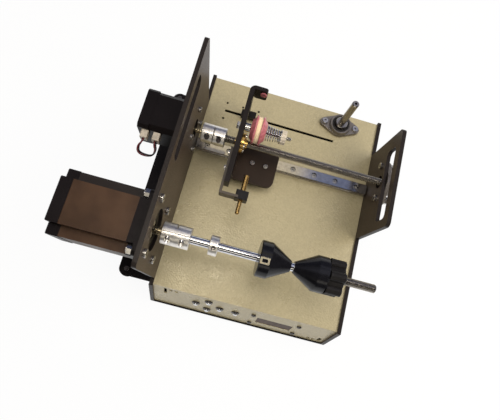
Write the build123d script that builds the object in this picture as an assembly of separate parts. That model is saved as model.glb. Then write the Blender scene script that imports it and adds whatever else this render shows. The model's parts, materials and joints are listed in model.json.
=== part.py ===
from build123d import *
import math
import os

# Wire coil winding machine, millimetres.
# Working frame: X runs along the spindle from the left plate's inner face, Y runs back
# from the cover's front fold, Z rises from the cover's top face. Every solid is moved
# at the end, so that the whole machine stands on Z = 0 round the origin.

# ---- box -------------------------------------------------------------------------
BOX_W = 202.0            # between the two side plates
BOX_D = 250.0            # front fold to back panel
BOX_H = 50.0             # cover height
FRONT_RUN = 16.0         # how far the front panel leans out at its foot
SKIN = 1.5               # cover sheet
PLATE_T = 4.0            # side plates
PLATE_PROUD = 2.0        # side plates stand past the cover
BASE_T = 3.0
FOOT_H = 6.0
FOOT_R = 9.0
OUTRIGGER_X = -50.0      # left edge of the base plate under the motors
OUTRIGGER_FRONT = 2.0
OUTRIGGER_BACK = BOX_D - 7.0

# ---- left plate ------------------------------------------------------------------
LEFT_FRONT = 6.0
LEFT_BACK = 216.0
LEFT_TOP = 119.0
LEFT_WINDOW = (104.0, 187.0, 90.0, 108.0)

# ---- right plate -----------------------------------------------------------------
RIGHT_FRONT = 104.5
RIGHT_BACK = 208.0
RIGHT_TOP = 79.0
RIGHT_WINDOW = (114.0, 192.0, 50.0, 69.5)

# ---- spindle line ----------------------------------------------------------------
SPINDLE_Y = 43.5
SPINDLE_Z = 82.5
SHAFT_R = 4.0
RUN_GAP = 0.05           # radial clearance of a running fit
THREAD_R = 3.9
THREAD_PITCH = 1.25
SPINDLE_END = 200.5
COUPLING_X = 6.0
COUPLING_L = 25.0
COUPLING_R = 10.0
COLLAR_X = 48.0
COLLAR_W = 8.0
COLLAR_R = 9.0
CONE_R = 16.5
CONE_TIP_R = 5.2
CONE_RIM = 10.0
CONE_L = 29.5
INNER_CONE_X = 92.0
TIP_GAP = 3.0
KNOB_GAP = 0.3
KNOB_L = 14.0
KNOB_R = 17.5

# ---- winding motor ---------------------------------------------------------------
MOTOR1_SIDE = 56.4
MOTOR1_PITCH = 47.14
MOTOR1_PILOT_R = 19.05
MOTOR1_L = 76.0
MOTOR1_NOTCH = 9.4

# ---- traverse --------------------------------------------------------------------
SCREW_Y = 161.7
SCREW_Z = 40.0
SCREW_R = 4.0
SCREW_LEAD = 8.0
MOTOR2_SIDE = 42.3
MOTOR2_PITCH = 31.0
MOTOR2_PILOT_R = 11.0
MOTOR2_L = 48.0
RAIL_W = 12.0
RAIL_H = 8.0
RAIL_GAP = 1.0           # between the rail's ends and the side plates
RAIL_L = BOX_W - 2 * RAIL_GAP
RAIL_PITCH = 25.0
BLOCK_X = 74.3           # centre of the sliding block at rest
BLOCK_L = 34.7
BLOCK_W = 27.0
BLOCK_TOP = 13.0
TABLE_T = 5.0            # carriage plate
TABLE_FRONT = 129.0
TABLE_BACK = 176.0
TABLE_RIGHT = 94.3
BAR_X = 44.3             # left face of the guide bar
BAR_T = 5.0
BAR_TOP = 64.0
BAR_LOW = 47.0
BAR_FRONT = 109.0
BAR_BACK = BOX_D - 34.0
TAB_END = 63.0
EYELET_X = 59.2
EYELET_Z = 57.5

# ---- wire tensioner --------------------------------------------------------------
STUD_Y = 172.6
STUD_Z = 56.0
STUD_R = 2.0
DISC_X = 55.5
DISC_T = 5.5
DISC_R = 14.6
FELT_T = 4.6
SPRING_L = 14.6
SPRING_WIDE_R = 7.7      # mean radius of the curl against the disc
SPRING_NARROW_R = 5.8    # and against the washer
SPRING_WIRE_R = 0.6
SPRING_COILS = 5.0
HUB_R = 9.2              # flat middle of each disc's outer side
WASHER_R = 7.0
NUT_R = 7.2

# ---- guide arm and nozzle --------------------------------------------------------
ARM_T = 2.4
ARM_LOW = 50.0
ARM_TOP = 62.0
ARM_FRONT = 97.5
NOZZLE_X = 64.2
NOZZLE_BACK = 123.0
NOZZLE_TIP = 82.5
NOZZLE_BORE_R = 1.0

# ---- spool rod -------------------------------------------------------------------
ROD_X = 156.0
ROD_Y = BOX_D - 17.0
ROD_TOP = 56.5
ROD_R = 4.0              # in its bearing
ROD_SLIM_R = 3.9         # above it
FLANGE_PITCH = 37.0      # bolt spacing of both flange bearings

# ---- cover slot and holes --------------------------------------------------------
SLOT_X0 = 20.5
SLOT_X1 = 153.0
SLOT_Y = BOX_D - 37.5
SLOT_W = 3.0
GRID_X = 21.0
GRID_PITCH = 19.0

# ---- control panel, measured down the sloping front --------------------------------
NAV_X = 61.3
NAV_V = -24.5
NAV_DX = 13.5
NAV_DV = 12.6
ENTER_X = 92.8
CAP_R = 2.5
CAP_TRAVEL = 1.5
LCD_X = 138.5
LCD_RISE = 22.0          # up the slope from the panel's foot
LCD_W = 41.0
LCD_H = 17.5
LCD_SCREW_DX = 52.0
LCD_SCREW_DV = 28.0

MIN_ALIGN = (Align.CENTER, Align.CENTER, Align.MIN)


# ---- building blocks ---------------------------------------------------------------
def box(x0, x1, y0, y1, z0, z1):
    """A block between two corners."""
    size = Box(x1 - x0, y1 - y0, z1 - z0)
    return Pos((x0 + x1) / 2, (y0 + y1) / 2, (z0 + z1) / 2) * size


def cyl_x(r, x0, x1, y, z):
    return Pos(x0, y, z) * Rot(0, 90, 0) * Cylinder(r, x1 - x0, align=MIN_ALIGN)


def cyl_y(r, y0, y1, x, z):
    return Pos(x, y0, z) * Rot(-90, 0, 0) * Cylinder(r, y1 - y0, align=MIN_ALIGN)


def cyl_z(r, z0, z1, x, y):
    return Pos(x, y, z0) * Cylinder(r, z1 - z0, align=MIN_ALIGN)


def cone_x(r0, r1, x0, x1, y, z):
    return Pos(x0, y, z) * Rot(0, 90, 0) * Cone(r0, r1, x1 - x0, align=MIN_ALIGN)


def profile_x(points, x0, x1):
    """A closed outline of (y, z) points, drawn out from x0 to x1."""
    face = Plane.YZ * make_face(Polyline(*points, close=True))
    return Pos(x0, 0, 0) * extrude(face, amount=x1 - x0, dir=(1, 0, 0))


def slot_x(y0, y1, z0, z1, r, x0, x1):
    """A window with round corners through a plate that faces X."""
    face = Plane.YZ * (Pos((y0 + y1) / 2, (z0 + z1) / 2) * RectangleRounded(y1 - y0, z1 - z0, r))
    return Pos(x0, 0, 0) * extrude(face, amount=x1 - x0, dir=(1, 0, 0))


def hex_prism(width, length):
    """A hexagonal bar along Z, its width across flats."""
    return extrude(RegularPolygon(width / 2, 6, major_radius=False), amount=length)


def cap_screw(r, length, head_r, head_h, socket_r):
    """A socket screw along Z: its shank ends at Z = 0 and its head stands on top."""
    shank = Cylinder(r, length, align=MIN_ALIGN)
    head = Pos(0, 0, length) * Cylinder(head_r, head_h, align=MIN_ALIGN)
    head = chamfer(head.edges().group_by(Axis.Z)[-1], head_h * 0.12)
    socket = Pos(0, 0, length + head_h * 0.45) * hex_prism(2 * socket_r, head_h)
    return shank + head - socket


def hex_nut(width, height, bore_r):
    return hex_prism(width, height) - Cylinder(bore_r, height, align=MIN_ALIGN)


def group(solids):
    """Separate solids of one node."""
    return Compound(children=[s for part in solids for s in part.solids()])


PANEL_LEN = math.hypot(FRONT_RUN, BOX_H)
LCD_V = LCD_RISE - PANEL_LEN
PANEL_OUT = Vector(0, -BOX_H / PANEL_LEN, FRONT_RUN / PANEL_LEN)
PANEL = Plane(origin=(0, 0, 0), x_dir=(1, 0, 0), z_dir=PANEL_OUT)


def on_panel(x, v, w=0.0):
    """A place on the sloping front: v runs up the slope and w stands out of it."""
    return PANEL.location * Pos(x, v, w)


BUTTONS = {
    "button_left": (NAV_X - NAV_DX, NAV_V),
    "button_up": (NAV_X, NAV_V + NAV_DV),
    "button_down": (NAV_X, NAV_V - NAV_DV),
    "button_right": (NAV_X + NAV_DX, NAV_V),
    "button_enter": (ENTER_X, NAV_V),
}
CORNERS = [(-1, -1), (-1, 1), (1, -1), (1, 1)]
MOTOR1_BOLTS = [(SPINDLE_Y + a * MOTOR1_PITCH / 2, SPINDLE_Z + b * MOTOR1_PITCH / 2)
                for a, b in CORNERS]
MOTOR2_BOLTS = [(SCREW_Y + a * MOTOR2_PITCH / 2, SCREW_Z + b * MOTOR2_PITCH / 2)
                for a, b in CORNERS]
RAIL_X0 = BOX_W / 2 - RAIL_L / 2
RAIL_COUNT = int(RAIL_L / RAIL_PITCH)
RAIL_HOLES = [BOX_W / 2 + RAIL_PITCH * (n - (RAIL_COUNT - 1) / 2) for n in range(RAIL_COUNT)]
FEET = [(OUTRIGGER_X + 9, OUTRIGGER_FRONT + 8), (OUTRIGGER_X + 6, OUTRIGGER_BACK - 7),
        (BOX_W - 24, 6), (BOX_W - 24, BOX_D - 12)]
BLOCKS = [(side, y) for side in (0, 1) for y in (4.0, BOX_D - SKIN - 12.0)]
BLOCK_SIZE = 12.0


# ---- box ---------------------------------------------------------------------------
def make_cover():
    foot = -FRONT_RUN
    lean = FRONT_RUN / BOX_H
    inner_top = SKIN * PANEL_LEN / BOX_H - SKIN * lean
    outer = [(foot, -BOX_H), (0, 0), (BOX_D, 0), (BOX_D, -BOX_H)]
    step = SKIN * PANEL_LEN / BOX_H
    inner = [(foot + step - 0.01 * lean, -BOX_H - 0.01), (inner_top, -SKIN),
             (BOX_D - SKIN, -SKIN), (BOX_D - SKIN, -BOX_H - 0.01)]
    cover = profile_x(outer, 0, BOX_W) - profile_x(inner, -1, BOX_W + 1)
    cuts = [box(SLOT_X0, SLOT_X1, SLOT_Y - SLOT_W / 2, SLOT_Y + SLOT_W / 2, -4, 2)]
    for column in range(3):
        for side in (-1, 1):
            cuts.append(cyl_z(1.3, -4, 2, GRID_X + column * GRID_PITCH, SLOT_Y + side * 10))
    cuts += [cyl_z(1.6, -4, 2, x, SCREW_Y) for x in RAIL_HOLES]
    cuts += [cyl_z(2.1, -4, 2, ROD_X + s * FLANGE_PITCH / 2, ROD_Y) for s in (-1, 1)]
    cuts.append(cyl_z(6.5, -4, 2, ROD_X, ROD_Y))
    cuts += [on_panel(x, v, -4) * Cylinder(3.5, 8, align=MIN_ALIGN) for x, v in BUTTONS.values()]
    cuts.append(on_panel(LCD_X, LCD_V) * Box(LCD_W, LCD_H, 8))
    for a, b in CORNERS:
        spot = on_panel(LCD_X + a * LCD_SCREW_DX / 2, LCD_V + b * LCD_SCREW_DV / 2, -4)
        cuts.append(spot * Cylinder(1.6, 8, align=MIN_ALIGN))
    marks = [(13.3, -11.5, 3.0, 15.0), (19.2, -7.0, 3.5, 4.0), (25.2, -7.0, 3.5, 4.0),
             (BOX_W - 18.0, -46.5, 3.5, 4.0), (BOX_W - 12.0, -46.5, 3.5, 4.0),
             (BOX_W - 5.5, -43.0, 4.0, 12.0)]
    cuts += [on_panel(x, v) * Box(w, h, 8) for x, v, w, h in marks]
    cuts.append(box(28, 56, BOX_D - 4, BOX_D + 2, -38, -18))
    cuts += [cyl_y(1.6, BOX_D - 4, BOX_D + 2, x, -28) for x in (22, 62)]
    for n in range(7):
        x = 110 + n * 9
        cuts.append(box(x, x + 3, BOX_D - 4, BOX_D + 2, -40, -14))
    for side, y in BLOCKS[1::2]:
        x = BLOCK_SIZE / 2 if side == 0 else BOX_W - BLOCK_SIZE / 2
        cuts.append(cyl_y(1.6, BOX_D - 4, BOX_D + 2, x, -BOX_H + BLOCK_SIZE / 2))
    for cut in cuts:
        cover -= cut
    return cover


def make_base():
    base = box(OUTRIGGER_X, BOX_W + PLATE_T, OUTRIGGER_FRONT, OUTRIGGER_BACK,
               -BOX_H - BASE_T, -BOX_H)
    base = fillet(base.edges().filter_by(Axis.Z).group_by(Axis.X)[0], 8)
    base += box(-PLATE_T, BOX_W + PLATE_T, -FRONT_RUN - PLATE_PROUD, BOX_D + PLATE_PROUD,
                -BOX_H - BASE_T, -BOX_H)
    for x, y in FEET:
        base -= cyl_z(1.7, -BOX_H - 9, -BOX_H + 4, x, y)
    for side, y in BLOCKS:
        x = BLOCK_SIZE / 2 if side == 0 else BOX_W - BLOCK_SIZE / 2
        base -= cyl_z(1.6, -BOX_H - 9, -BOX_H + 4, x, y + BLOCK_SIZE / 2)
    for a, b in CORNERS:
        base -= cyl_z(1.6, -BOX_H - 9, -BOX_H + 4, 70 + a * 35, 110 + b * 45)
    return base


def side_outline():
    """The box end of a side plate, a little larger than the cover's section."""
    p = PLATE_PROUD
    return [(-FRONT_RUN - p, -BOX_H), (-p, p), (BOX_D + p, p), (BOX_D + p, -BOX_H)]


def block_holes(plate, x0, x1):
    for side, y in BLOCKS[:2]:
        plate -= cyl_x(1.6, x0 - 1, x1 + 1, y + BLOCK_SIZE / 2, -BOX_H + BLOCK_SIZE / 2)
    return plate


def make_left_plate():
    plate = profile_x(side_outline(), -PLATE_T, 0)
    tall = box(-PLATE_T, 0, LEFT_FRONT, LEFT_BACK, -10, LEFT_TOP)
    tall = fillet(tall.edges().filter_by(Axis.X).group_by(Axis.Z)[-1], 5)
    plate += tall
    y0, y1, z0, z1 = LEFT_WINDOW
    plate -= slot_x(y0, y1, z0, z1, 8, -PLATE_T - 1, 1)
    plate -= cyl_x(MOTOR1_PILOT_R + 0.2, -PLATE_T - 1, 1, SPINDLE_Y, SPINDLE_Z)
    plate -= cyl_x(MOTOR2_PILOT_R + 0.2, -PLATE_T - 1, 1, SCREW_Y, SCREW_Z)
    for y, z in MOTOR1_BOLTS:
        plate -= cyl_x(2.6, -PLATE_T - 1, 1, y, z)
    for y, z in MOTOR2_BOLTS:
        plate -= cyl_x(1.6, -PLATE_T - 1, 1, y, z)
    return block_holes(plate, -PLATE_T, 0)


def make_right_plate():
    x0, x1 = BOX_W, BOX_W + PLATE_T
    plate = profile_x(side_outline(), x0, x1)
    tall = box(x0, x1, RIGHT_FRONT, RIGHT_BACK, -10, RIGHT_TOP)
    tall = fillet(tall.edges().filter_by(Axis.X).group_by(Axis.Z)[-1], 5)
    plate += tall
    y0, y1, z0, z1 = RIGHT_WINDOW
    plate -= slot_x(y0, y1, z0, z1, 5, x0 - 1, x1 + 1)
    plate -= cyl_x(7, x0 - 1, x1 + 1, SCREW_Y, SCREW_Z)
    for s in (-1, 1):
        plate -= cyl_x(2.1, x0 - 1, x1 + 1, SCREW_Y + s * FLANGE_PITCH / 2, SCREW_Z)
    return block_holes(plate, x0, x1)


def make_blocks():
    """Tapped corner blocks that tie the base, the side plates and the back together."""
    blocks = []
    for side, y in BLOCKS:
        x0 = 0 if side == 0 else BOX_W - BLOCK_SIZE
        z0 = -BOX_H
        block = box(x0, x0 + BLOCK_SIZE, y, y + BLOCK_SIZE, z0, z0 + BLOCK_SIZE)
        mid_x, mid_y, mid_z = x0 + BLOCK_SIZE / 2, y + BLOCK_SIZE / 2, z0 + BLOCK_SIZE / 2
        outer = x0 - 1 if side == 0 else x0 + 7.5
        block -= cyl_x(1.5, outer, outer + 5.5, mid_y, mid_z)
        block -= cyl_z(1.5, z0 - 1, z0 + 3.5, mid_x, mid_y)
        if y > BOX_D / 2:
            block -= cyl_y(1.5, y + 8.0, y + BLOCK_SIZE + 1, mid_x, mid_z)
        blocks.append(block)
    return group(blocks)


def make_box_screws():
    """Round-head screws through the side plates, the back panel and the base."""
    screws = []
    for side, y in BLOCKS:
        mid_y, mid_z = y + BLOCK_SIZE / 2, -BOX_H + BLOCK_SIZE / 2
        mid_x = BLOCK_SIZE / 2 if side == 0 else BOX_W - BLOCK_SIZE / 2
        screw = cap_screw(1.5, PLATE_T + 4, 2.8, 1.7, 1.0)
        if side == 0:
            screws.append(Pos(4, mid_y, mid_z) * Rot(0, -90, 0) * screw)
        else:
            screws.append(Pos(BOX_W - 4, mid_y, mid_z) * Rot(0, 90, 0) * screw)
        low = cap_screw(1.5, BASE_T + 3, 2.8, 1.7, 1.0)
        screws.append(Pos(mid_x, mid_y, -BOX_H + 3) * Rot(180, 0, 0) * low)
        if y > BOX_D / 2:
            back = cap_screw(1.5, SKIN + 3, 2.8, 1.7, 1.0)
            screws.append(Pos(mid_x, BOX_D - SKIN - 3, mid_z) * Rot(-90, 0, 0) * back)
    return group(screws)


def make_feet():
    feet = []
    for x, y in FEET:
        foot = cyl_z(FOOT_R, -BOX_H - BASE_T - FOOT_H, -BOX_H - BASE_T, x, y)
        foot = fillet(foot.edges().group_by(Axis.Z)[0], 1.5)
        foot -= cyl_z(3.2, -BOX_H - BASE_T - FOOT_H - 1, -BOX_H - BASE_T - 3, x, y)
        foot -= cyl_z(1.7, -BOX_H - BASE_T - 4, -BOX_H, x, y)
        feet.append(foot)
    return group(feet)


def make_foot_screws():
    screws = []
    top = -BOX_H + 2.6
    for x, y in FEET:
        shank = cyl_z(1.6, -BOX_H - BASE_T - 3.2, top, x, y)
        head = cyl_z(2.8, -BOX_H - BASE_T - 5.0, -BOX_H - BASE_T - 3, x, y)
        nut = Pos(x, y, -BOX_H) * hex_prism(5.5, 2.4)
        screws.append(shank + head + nut)
    return group(screws)


# ---- control panel -----------------------------------------------------------------
def make_bezels():
    bezels = []
    for x, v in BUTTONS.values():
        flange = Pos(0, 0, 0) * Cylinder(4.4, 1.2, align=MIN_ALIGN)
        flange = fillet(flange.edges().group_by(Axis.Z)[-1], 0.5)
        bezel = flange + Pos(0, 0, -6) * Cylinder(3.4, 6, align=MIN_ALIGN)
        bezel -= Pos(0, 0, -7) * Cylinder(CAP_R + RUN_GAP, 10, align=MIN_ALIGN)
        bezels.append(on_panel(x, v) * bezel)
    return group(bezels)


def make_button_nuts():
    nuts = [on_panel(x, v, -SKIN - 2) * hex_nut(9.0, 2.0, 3.4) for x, v in BUTTONS.values()]
    return group(nuts)


def make_button_bodies():
    bodies = []
    for x, v in BUTTONS.values():
        body = Pos(0, 0, -16) * Box(9, 9, 10, align=MIN_ALIGN)
        body -= Pos(0, 0, -8.2) * Cylinder(CAP_R + RUN_GAP, 4, align=MIN_ALIGN)
        for s in (-1, 1):
            body += Pos(s * 2.2, 0, -20) * Box(0.6, 2.0, 4.2, align=MIN_ALIGN)
        bodies.append(on_panel(x, v) * body)
    return group(bodies)


def make_cap(x, v):
    cap = Pos(0, 0, -6.4) * Cylinder(CAP_R, 9.4, align=MIN_ALIGN)
    cap = fillet(cap.edges().group_by(Axis.Z)[-1], 0.9)
    return on_panel(x, v) * cap


def make_lcd_module():
    board = Pos(0, 0, -11) * Box(LCD_SCREW_DX + 7, LCD_SCREW_DV + 7, 1.6, align=MIN_ALIGN)
    glass = Pos(0, 0, -9.4) * Box(46, 20.5, 7.9, align=MIN_ALIGN)
    window = Pos(0, 0, -2) * Box(LCD_W - 0.2, LCD_H - 0.2, 1.6, align=MIN_ALIGN)
    module = board + glass + window
    for a, b in CORNERS:
        module -= Pos(a * LCD_SCREW_DX / 2, b * LCD_SCREW_DV / 2, -12) * Cylinder(
            1.6, 4, align=MIN_ALIGN)
    return on_panel(LCD_X, LCD_V) * module


def lcd_spots():
    return [on_panel(LCD_X + a * LCD_SCREW_DX / 2, LCD_V + b * LCD_SCREW_DV / 2)
            for a, b in CORNERS]


def make_lcd_spacers():
    tube = Cylinder(2.8, 7.9, align=MIN_ALIGN) - Cylinder(1.6, 7.9, align=MIN_ALIGN)
    return group([spot * Pos(0, 0, -9.4) * tube for spot in lcd_spots()])


def make_lcd_screws():
    screws = []
    for spot in lcd_spots():
        screw = Pos(0, 0, -14) * cap_screw(1.5, 14, 2.6, 1.4, 1.0)
        nut = Pos(0, 0, -13.2) * hex_prism(5.5, 2.2)
        screws.append(spot * (screw + nut))
    return group(screws)


# ---- inside the box ----------------------------------------------------------------
def make_board():
    z = -BOX_H + 8
    board = box(28, 112, 58, 162, z, z + 1.6)
    for a, b in CORNERS:
        board -= cyl_z(1.6, z - 1, z + 3, 70 + a * 35, 110 + b * 45)
    board += box(60, 76, 80, 96, z + 1.6, z + 4.0)
    board += box(40, 100, 148, 156, z + 1.6, z + 10.6)
    board += box(82, 98, 70, 84, z + 1.6, z + 9.6)
    board += cyl_z(5, z + 1.6, z + 14, 40, 72) + cyl_z(5, z + 1.6, z + 14, 53, 72)
    return board


def make_drivers():
    z = -BOX_H + 9.6
    drivers = []
    for x in (42, 82):
        body = box(x, x + 16, 112, 132, z, z + 8)
        for n in range(5):
            body += box(x + 1 + 3.2 * n, x + 2.2 + 3.2 * n, 114, 130, z + 8, z + 14)
        drivers.append(body)
    return group(drivers)


def make_standoffs():
    posts = []
    for a, b in CORNERS:
        x, y = 70 + a * 35, 110 + b * 45
        post = Pos(x, y, -BOX_H) * hex_prism(5.5, 8)
        post += cyl_z(1.5, -BOX_H - BASE_T, -BOX_H, x, y)
        post += cyl_z(1.5, -BOX_H + 8, -BOX_H + 9.6, x, y)
        post += cyl_z(2.7, -BOX_H + 9.6, -BOX_H + 11.4, x, y)
        posts.append(post)
    return group(posts)


def make_inlet():
    body = box(28.3, 55.7, BOX_D - 22, BOX_D, -37.7, -18.3)
    flange = box(16.5, 67.5, BOX_D, BOX_D + 2, -39.5, -16.5)
    inlet = body + flange
    inlet -= box(31, 53, BOX_D - 16, BOX_D + 3, -35.5, -20.5)
    inlet -= cyl_y(1.6, BOX_D - 1, BOX_D + 3, 22, -28) + cyl_y(1.6, BOX_D - 1, BOX_D + 3, 62, -28)
    for x, z in ((42, -24.5), (36, -31), (48, -31)):
        inlet += box(x - 1, x + 1, BOX_D - 16.5, BOX_D - 3, z - 2, z + 2)
    return inlet


def make_inlet_screws():
    screws = []
    for x in (22, 62):
        screw = cap_screw(1.5, SKIN + 6.5, 2.7, 1.7, 1.0)
        nut = Pos(0, 0, 6.5 - 2 - 2.4) * hex_prism(5.5, 2.4)
        screws.append(Pos(x, BOX_D + 2 - SKIN - 6.5, -28) * Rot(-90, 0, 0) * (screw + nut))
    return group(screws)


def make_limit_sensor():
    """A slotted light gate under the left end of the cover's slot."""
    x0, x1 = 22.0, 34.5
    sensor = box(x0, x1, SLOT_Y - 7, SLOT_Y + 7, -19, -SKIN)
    sensor -= box(x0 - 1, x1 + 1, SLOT_Y - 2.5, SLOT_Y + 2.5, -15, 0)
    sensor += box(x0 + 2, x1 - 2, SLOT_Y - 4, SLOT_Y + 4, -22, -19)
    return sensor


# ---- winding motor and spindle -----------------------------------------------------
def notched(x0, x1, trim=0.0):
    """The square motor section with its four corners cut back for the bolts."""
    half = MOTOR1_SIDE / 2 - trim
    body = box(x0, x1, SPINDLE_Y - half, SPINDLE_Y + half, SPINDLE_Z - half, SPINDLE_Z + half)
    edge = MOTOR1_SIDE / 2 - MOTOR1_NOTCH
    for a, b in CORNERS:
        y0, y1 = sorted((SPINDLE_Y + a * edge, SPINDLE_Y + a * (half + 1)))
        z0, z1 = sorted((SPINDLE_Z + b * edge, SPINDLE_Z + b * (half + 1)))
        body -= box(x0 - 1, x1 + 1, y0, y1, z0, z1)
    return body


M1_FACE = -PLATE_T
M1_CAP_X = M1_FACE - 11.0
M1_REAR_X = M1_FACE - 65.5
M1_BACK_X = M1_FACE - MOTOR1_L


def make_motor1_front():
    half = MOTOR1_SIDE / 2
    flange = box(M1_FACE - 5, M1_FACE, SPINDLE_Y - half, SPINDLE_Y + half,
                 SPINDLE_Z - half, SPINDLE_Z + half)
    flange = fillet(flange.edges().filter_by(Axis.X), 4)
    front = flange + notched(M1_CAP_X, M1_FACE - 5)
    front += cyl_x(MOTOR1_PILOT_R, M1_FACE, M1_FACE + 1.6, SPINDLE_Y, SPINDLE_Z)
    front -= cyl_x(9, M1_CAP_X - 1, M1_FACE + 3, SPINDLE_Y, SPINDLE_Z)
    for y, z in MOTOR1_BOLTS:
        front -= cyl_x(2.6, M1_FACE - 6, M1_FACE + 1, y, z)
    return front


def make_motor1_stack():
    stack = notched(M1_REAR_X, M1_CAP_X, 0.4)
    return stack - cyl_x(9, M1_REAR_X - 1, M1_CAP_X + 1, SPINDLE_Y, SPINDLE_Z)


def make_motor1_rear():
    rear = notched(M1_BACK_X, M1_REAR_X)
    rear = chamfer(rear.faces().sort_by(Axis.X)[0].edges(), 0.8)
    return rear - cyl_x(9, M1_REAR_X - 6, M1_REAR_X + 1, SPINDLE_Y, SPINDLE_Z)


def bearing_ring(x0, x1, y, z, bore, outer):
    ring = cyl_x(outer, x0, x1, y, z) - cyl_x(bore, x0 - 1, x1 + 1, y, z)
    return ring


def make_motor1_bearings():
    rings = [bearing_ring(M1_FACE - 6, M1_FACE + 1, SPINDLE_Y, SPINDLE_Z, SHAFT_R + RUN_GAP, 9),
             bearing_ring(M1_REAR_X - 5, M1_REAR_X - 0.5, SPINDLE_Y, SPINDLE_Z,
                          SHAFT_R + RUN_GAP, 9)]
    return group(rings)


def make_motor1_bolts():
    bolts = []
    for y, z in MOTOR1_BOLTS:
        bolt = cap_screw(2.5, 14, 4.0, 2.7, 1.5)
        bolts.append(Pos(-14, y, z) * Rot(0, 90, 0) * bolt)
    return group(bolts)


def make_motor1_nuts():
    nuts = [Pos(M1_FACE - 5, y, z) * Rot(0, -90, 0) * hex_nut(8.0, 4.0, 2.5)
            for y, z in MOTOR1_BOLTS]
    return group(nuts)


def make_motor1_shaft():
    shaft = cyl_x(SHAFT_R, M1_REAR_X - 4.5, COUPLING_X + COUPLING_L / 2 - 0.5,
                  SPINDLE_Y, SPINDLE_Z)
    rotor = cyl_x(8.5, M1_REAR_X + 3, M1_CAP_X - 3, SPINDLE_Y, SPINDLE_Z)
    return shaft + rotor


def coupling_body(x0, length, r, y, z, bore):
    body = cyl_x(r, x0, x0 + length, y, z)
    rims = body.edges().filter_by(GeomType.CIRCLE)
    body = chamfer(rims, 0.5)
    return body - cyl_x(bore, x0 - 1, x0 + length + 1, y, z)


def coupling_screw_places(x0, length):
    return [x0 + length * 0.25, x0 + length * 0.75]


def make_coupling_half(side):
    """Half of the split clamp coupling: side 1 is the front half and -1 the rear."""
    y, z = SPINDLE_Y, SPINDLE_Z
    body = coupling_body(COUPLING_X, COUPLING_L, COUPLING_R, y, z, SHAFT_R)
    seam = 0.3
    if side > 0:
        half = body & box(COUPLING_X - 1, COUPLING_X + COUPLING_L + 1, y - 12, y + 12,
                          z + seam, z + 12)
    else:
        half = body & box(COUPLING_X - 1, COUPLING_X + COUPLING_L + 1, y - 12, y + 12,
                          z - 12, z - seam)
        mid = COUPLING_X + COUPLING_L / 2
        half -= box(mid - 0.5, mid + 0.5, y - 12, y + 12, z - 12, z - 4.6)
    for x in coupling_screw_places(COUPLING_X, COUPLING_L):
        for s in (-1, 1):
            spot_y = y + s * 7.0
            if side > 0:
                half -= cyl_z(1.6, z, z + 12, x, spot_y)
                half -= cyl_z(2.6, z + 3.2, z + 12, x, spot_y)
            else:
                half -= cyl_z(1.5, z - 4.2, z, x, spot_y)
    return quarter_turn(half)


def quarter_turn(shape):
    """Turns a shape about the spindle, its upper side to the front."""
    return Pos(0, SPINDLE_Y, SPINDLE_Z) * Rot(90, 0, 0) * Pos(0, -SPINDLE_Y, -SPINDLE_Z) * shape


def make_coupling_screws():
    screws = []
    for x in coupling_screw_places(COUPLING_X, COUPLING_L):
        for s in (-1, 1):
            screw = cap_screw(1.5, 7.2, 2.5, 2.4, 1.25)
            screws.append(quarter_turn(Pos(x, SPINDLE_Y + s * 7.0, SPINDLE_Z - 4.0) * screw))
    return group(screws)


THREAD_X = INNER_CONE_X + 2 * CONE_L + TIP_GAP - 6


def make_spindle_shaft():
    start = COUPLING_X + COUPLING_L / 2 + 0.5
    shaft = cyl_x(SHAFT_R, start, THREAD_X, SPINDLE_Y, SPINDLE_Z)
    tail = cyl_x(THREAD_R, THREAD_X, SPINDLE_END, SPINDLE_Y, SPINDLE_Z)
    tail = chamfer(tail.edges().filter_by(GeomType.CIRCLE).sort_by(Axis.X)[-1], 1.0)
    return shaft + tail


def make_collar():
    collar = cyl_x(COLLAR_R, COLLAR_X, COLLAR_X + COLLAR_W, SPINDLE_Y, SPINDLE_Z)
    collar = chamfer(collar.edges().filter_by(GeomType.CIRCLE), 0.5)
    collar -= cyl_x(SHAFT_R, COLLAR_X - 1, COLLAR_X + COLLAR_W + 1, SPINDLE_Y, SPINDLE_Z)
    mid = COLLAR_X + COLLAR_W / 2
    return collar - set_screw_path(mid, 2.0)


def set_screw_path(x, r):
    """A radial bore that faces up and a little forward."""
    place = Pos(x, SPINDLE_Y, SPINDLE_Z) * Rot(22, 0, 0)
    return place * Pos(0, 0, 3.9) * Cylinder(r, 6, align=MIN_ALIGN)


def make_collar_screw():
    mid = COLLAR_X + COLLAR_W / 2
    body = Pos(0, 0, SHAFT_R) * Cylinder(2.0, 4.2, align=MIN_ALIGN)
    body -= Pos(0, 0, SHAFT_R + 2.2) * hex_prism(2.0, 3)
    return Pos(mid, SPINDLE_Y, SPINDLE_Z) * Rot(22, 0, 0) * body


def cone_solid(bore):
    """A winding cone along +X: rim first, then its taper."""
    rim = cyl_x(CONE_R, 0, CONE_RIM, 0, 0)
    rim = chamfer(rim.edges().filter_by(GeomType.CIRCLE).sort_by(Axis.X)[0], 0.8)
    taper = cone_x(CONE_R, CONE_TIP_R, CONE_RIM, CONE_L, 0, 0)
    return rim + taper - cyl_x(bore, -1, CONE_L + 1, 0, 0)


def make_inner_cone():
    cone = Pos(INNER_CONE_X, SPINDLE_Y, SPINDLE_Z) * cone_solid(SHAFT_R)
    return cone - catch_place() * Pos(0, 0, -0.9) * Box(8.6, 6.2, 6, align=MIN_ALIGN)


def catch_place():
    """Where the wire catch sits: on the rim of the inner cone, facing up and forward."""
    turn = Pos(INNER_CONE_X + 4.9, SPINDLE_Y, SPINDLE_Z) * Rot(12, 0, 0)
    return turn * Pos(0, 0, CONE_R - 0.6)


def make_wire_catch():
    plate = Pos(0, 0, -0.9) * Box(8.4, 6.0, 1.2, align=MIN_ALIGN)
    plate = fillet(plate.edges().filter_by(Axis.Z), 0.8)
    slot = extrude(RectangleRounded(5.0, 3.0, 0.9), amount=4, both=True)
    return catch_place() * (plate - slot)


OUTER_CONE_END = INNER_CONE_X + 2 * CONE_L + TIP_GAP


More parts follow.
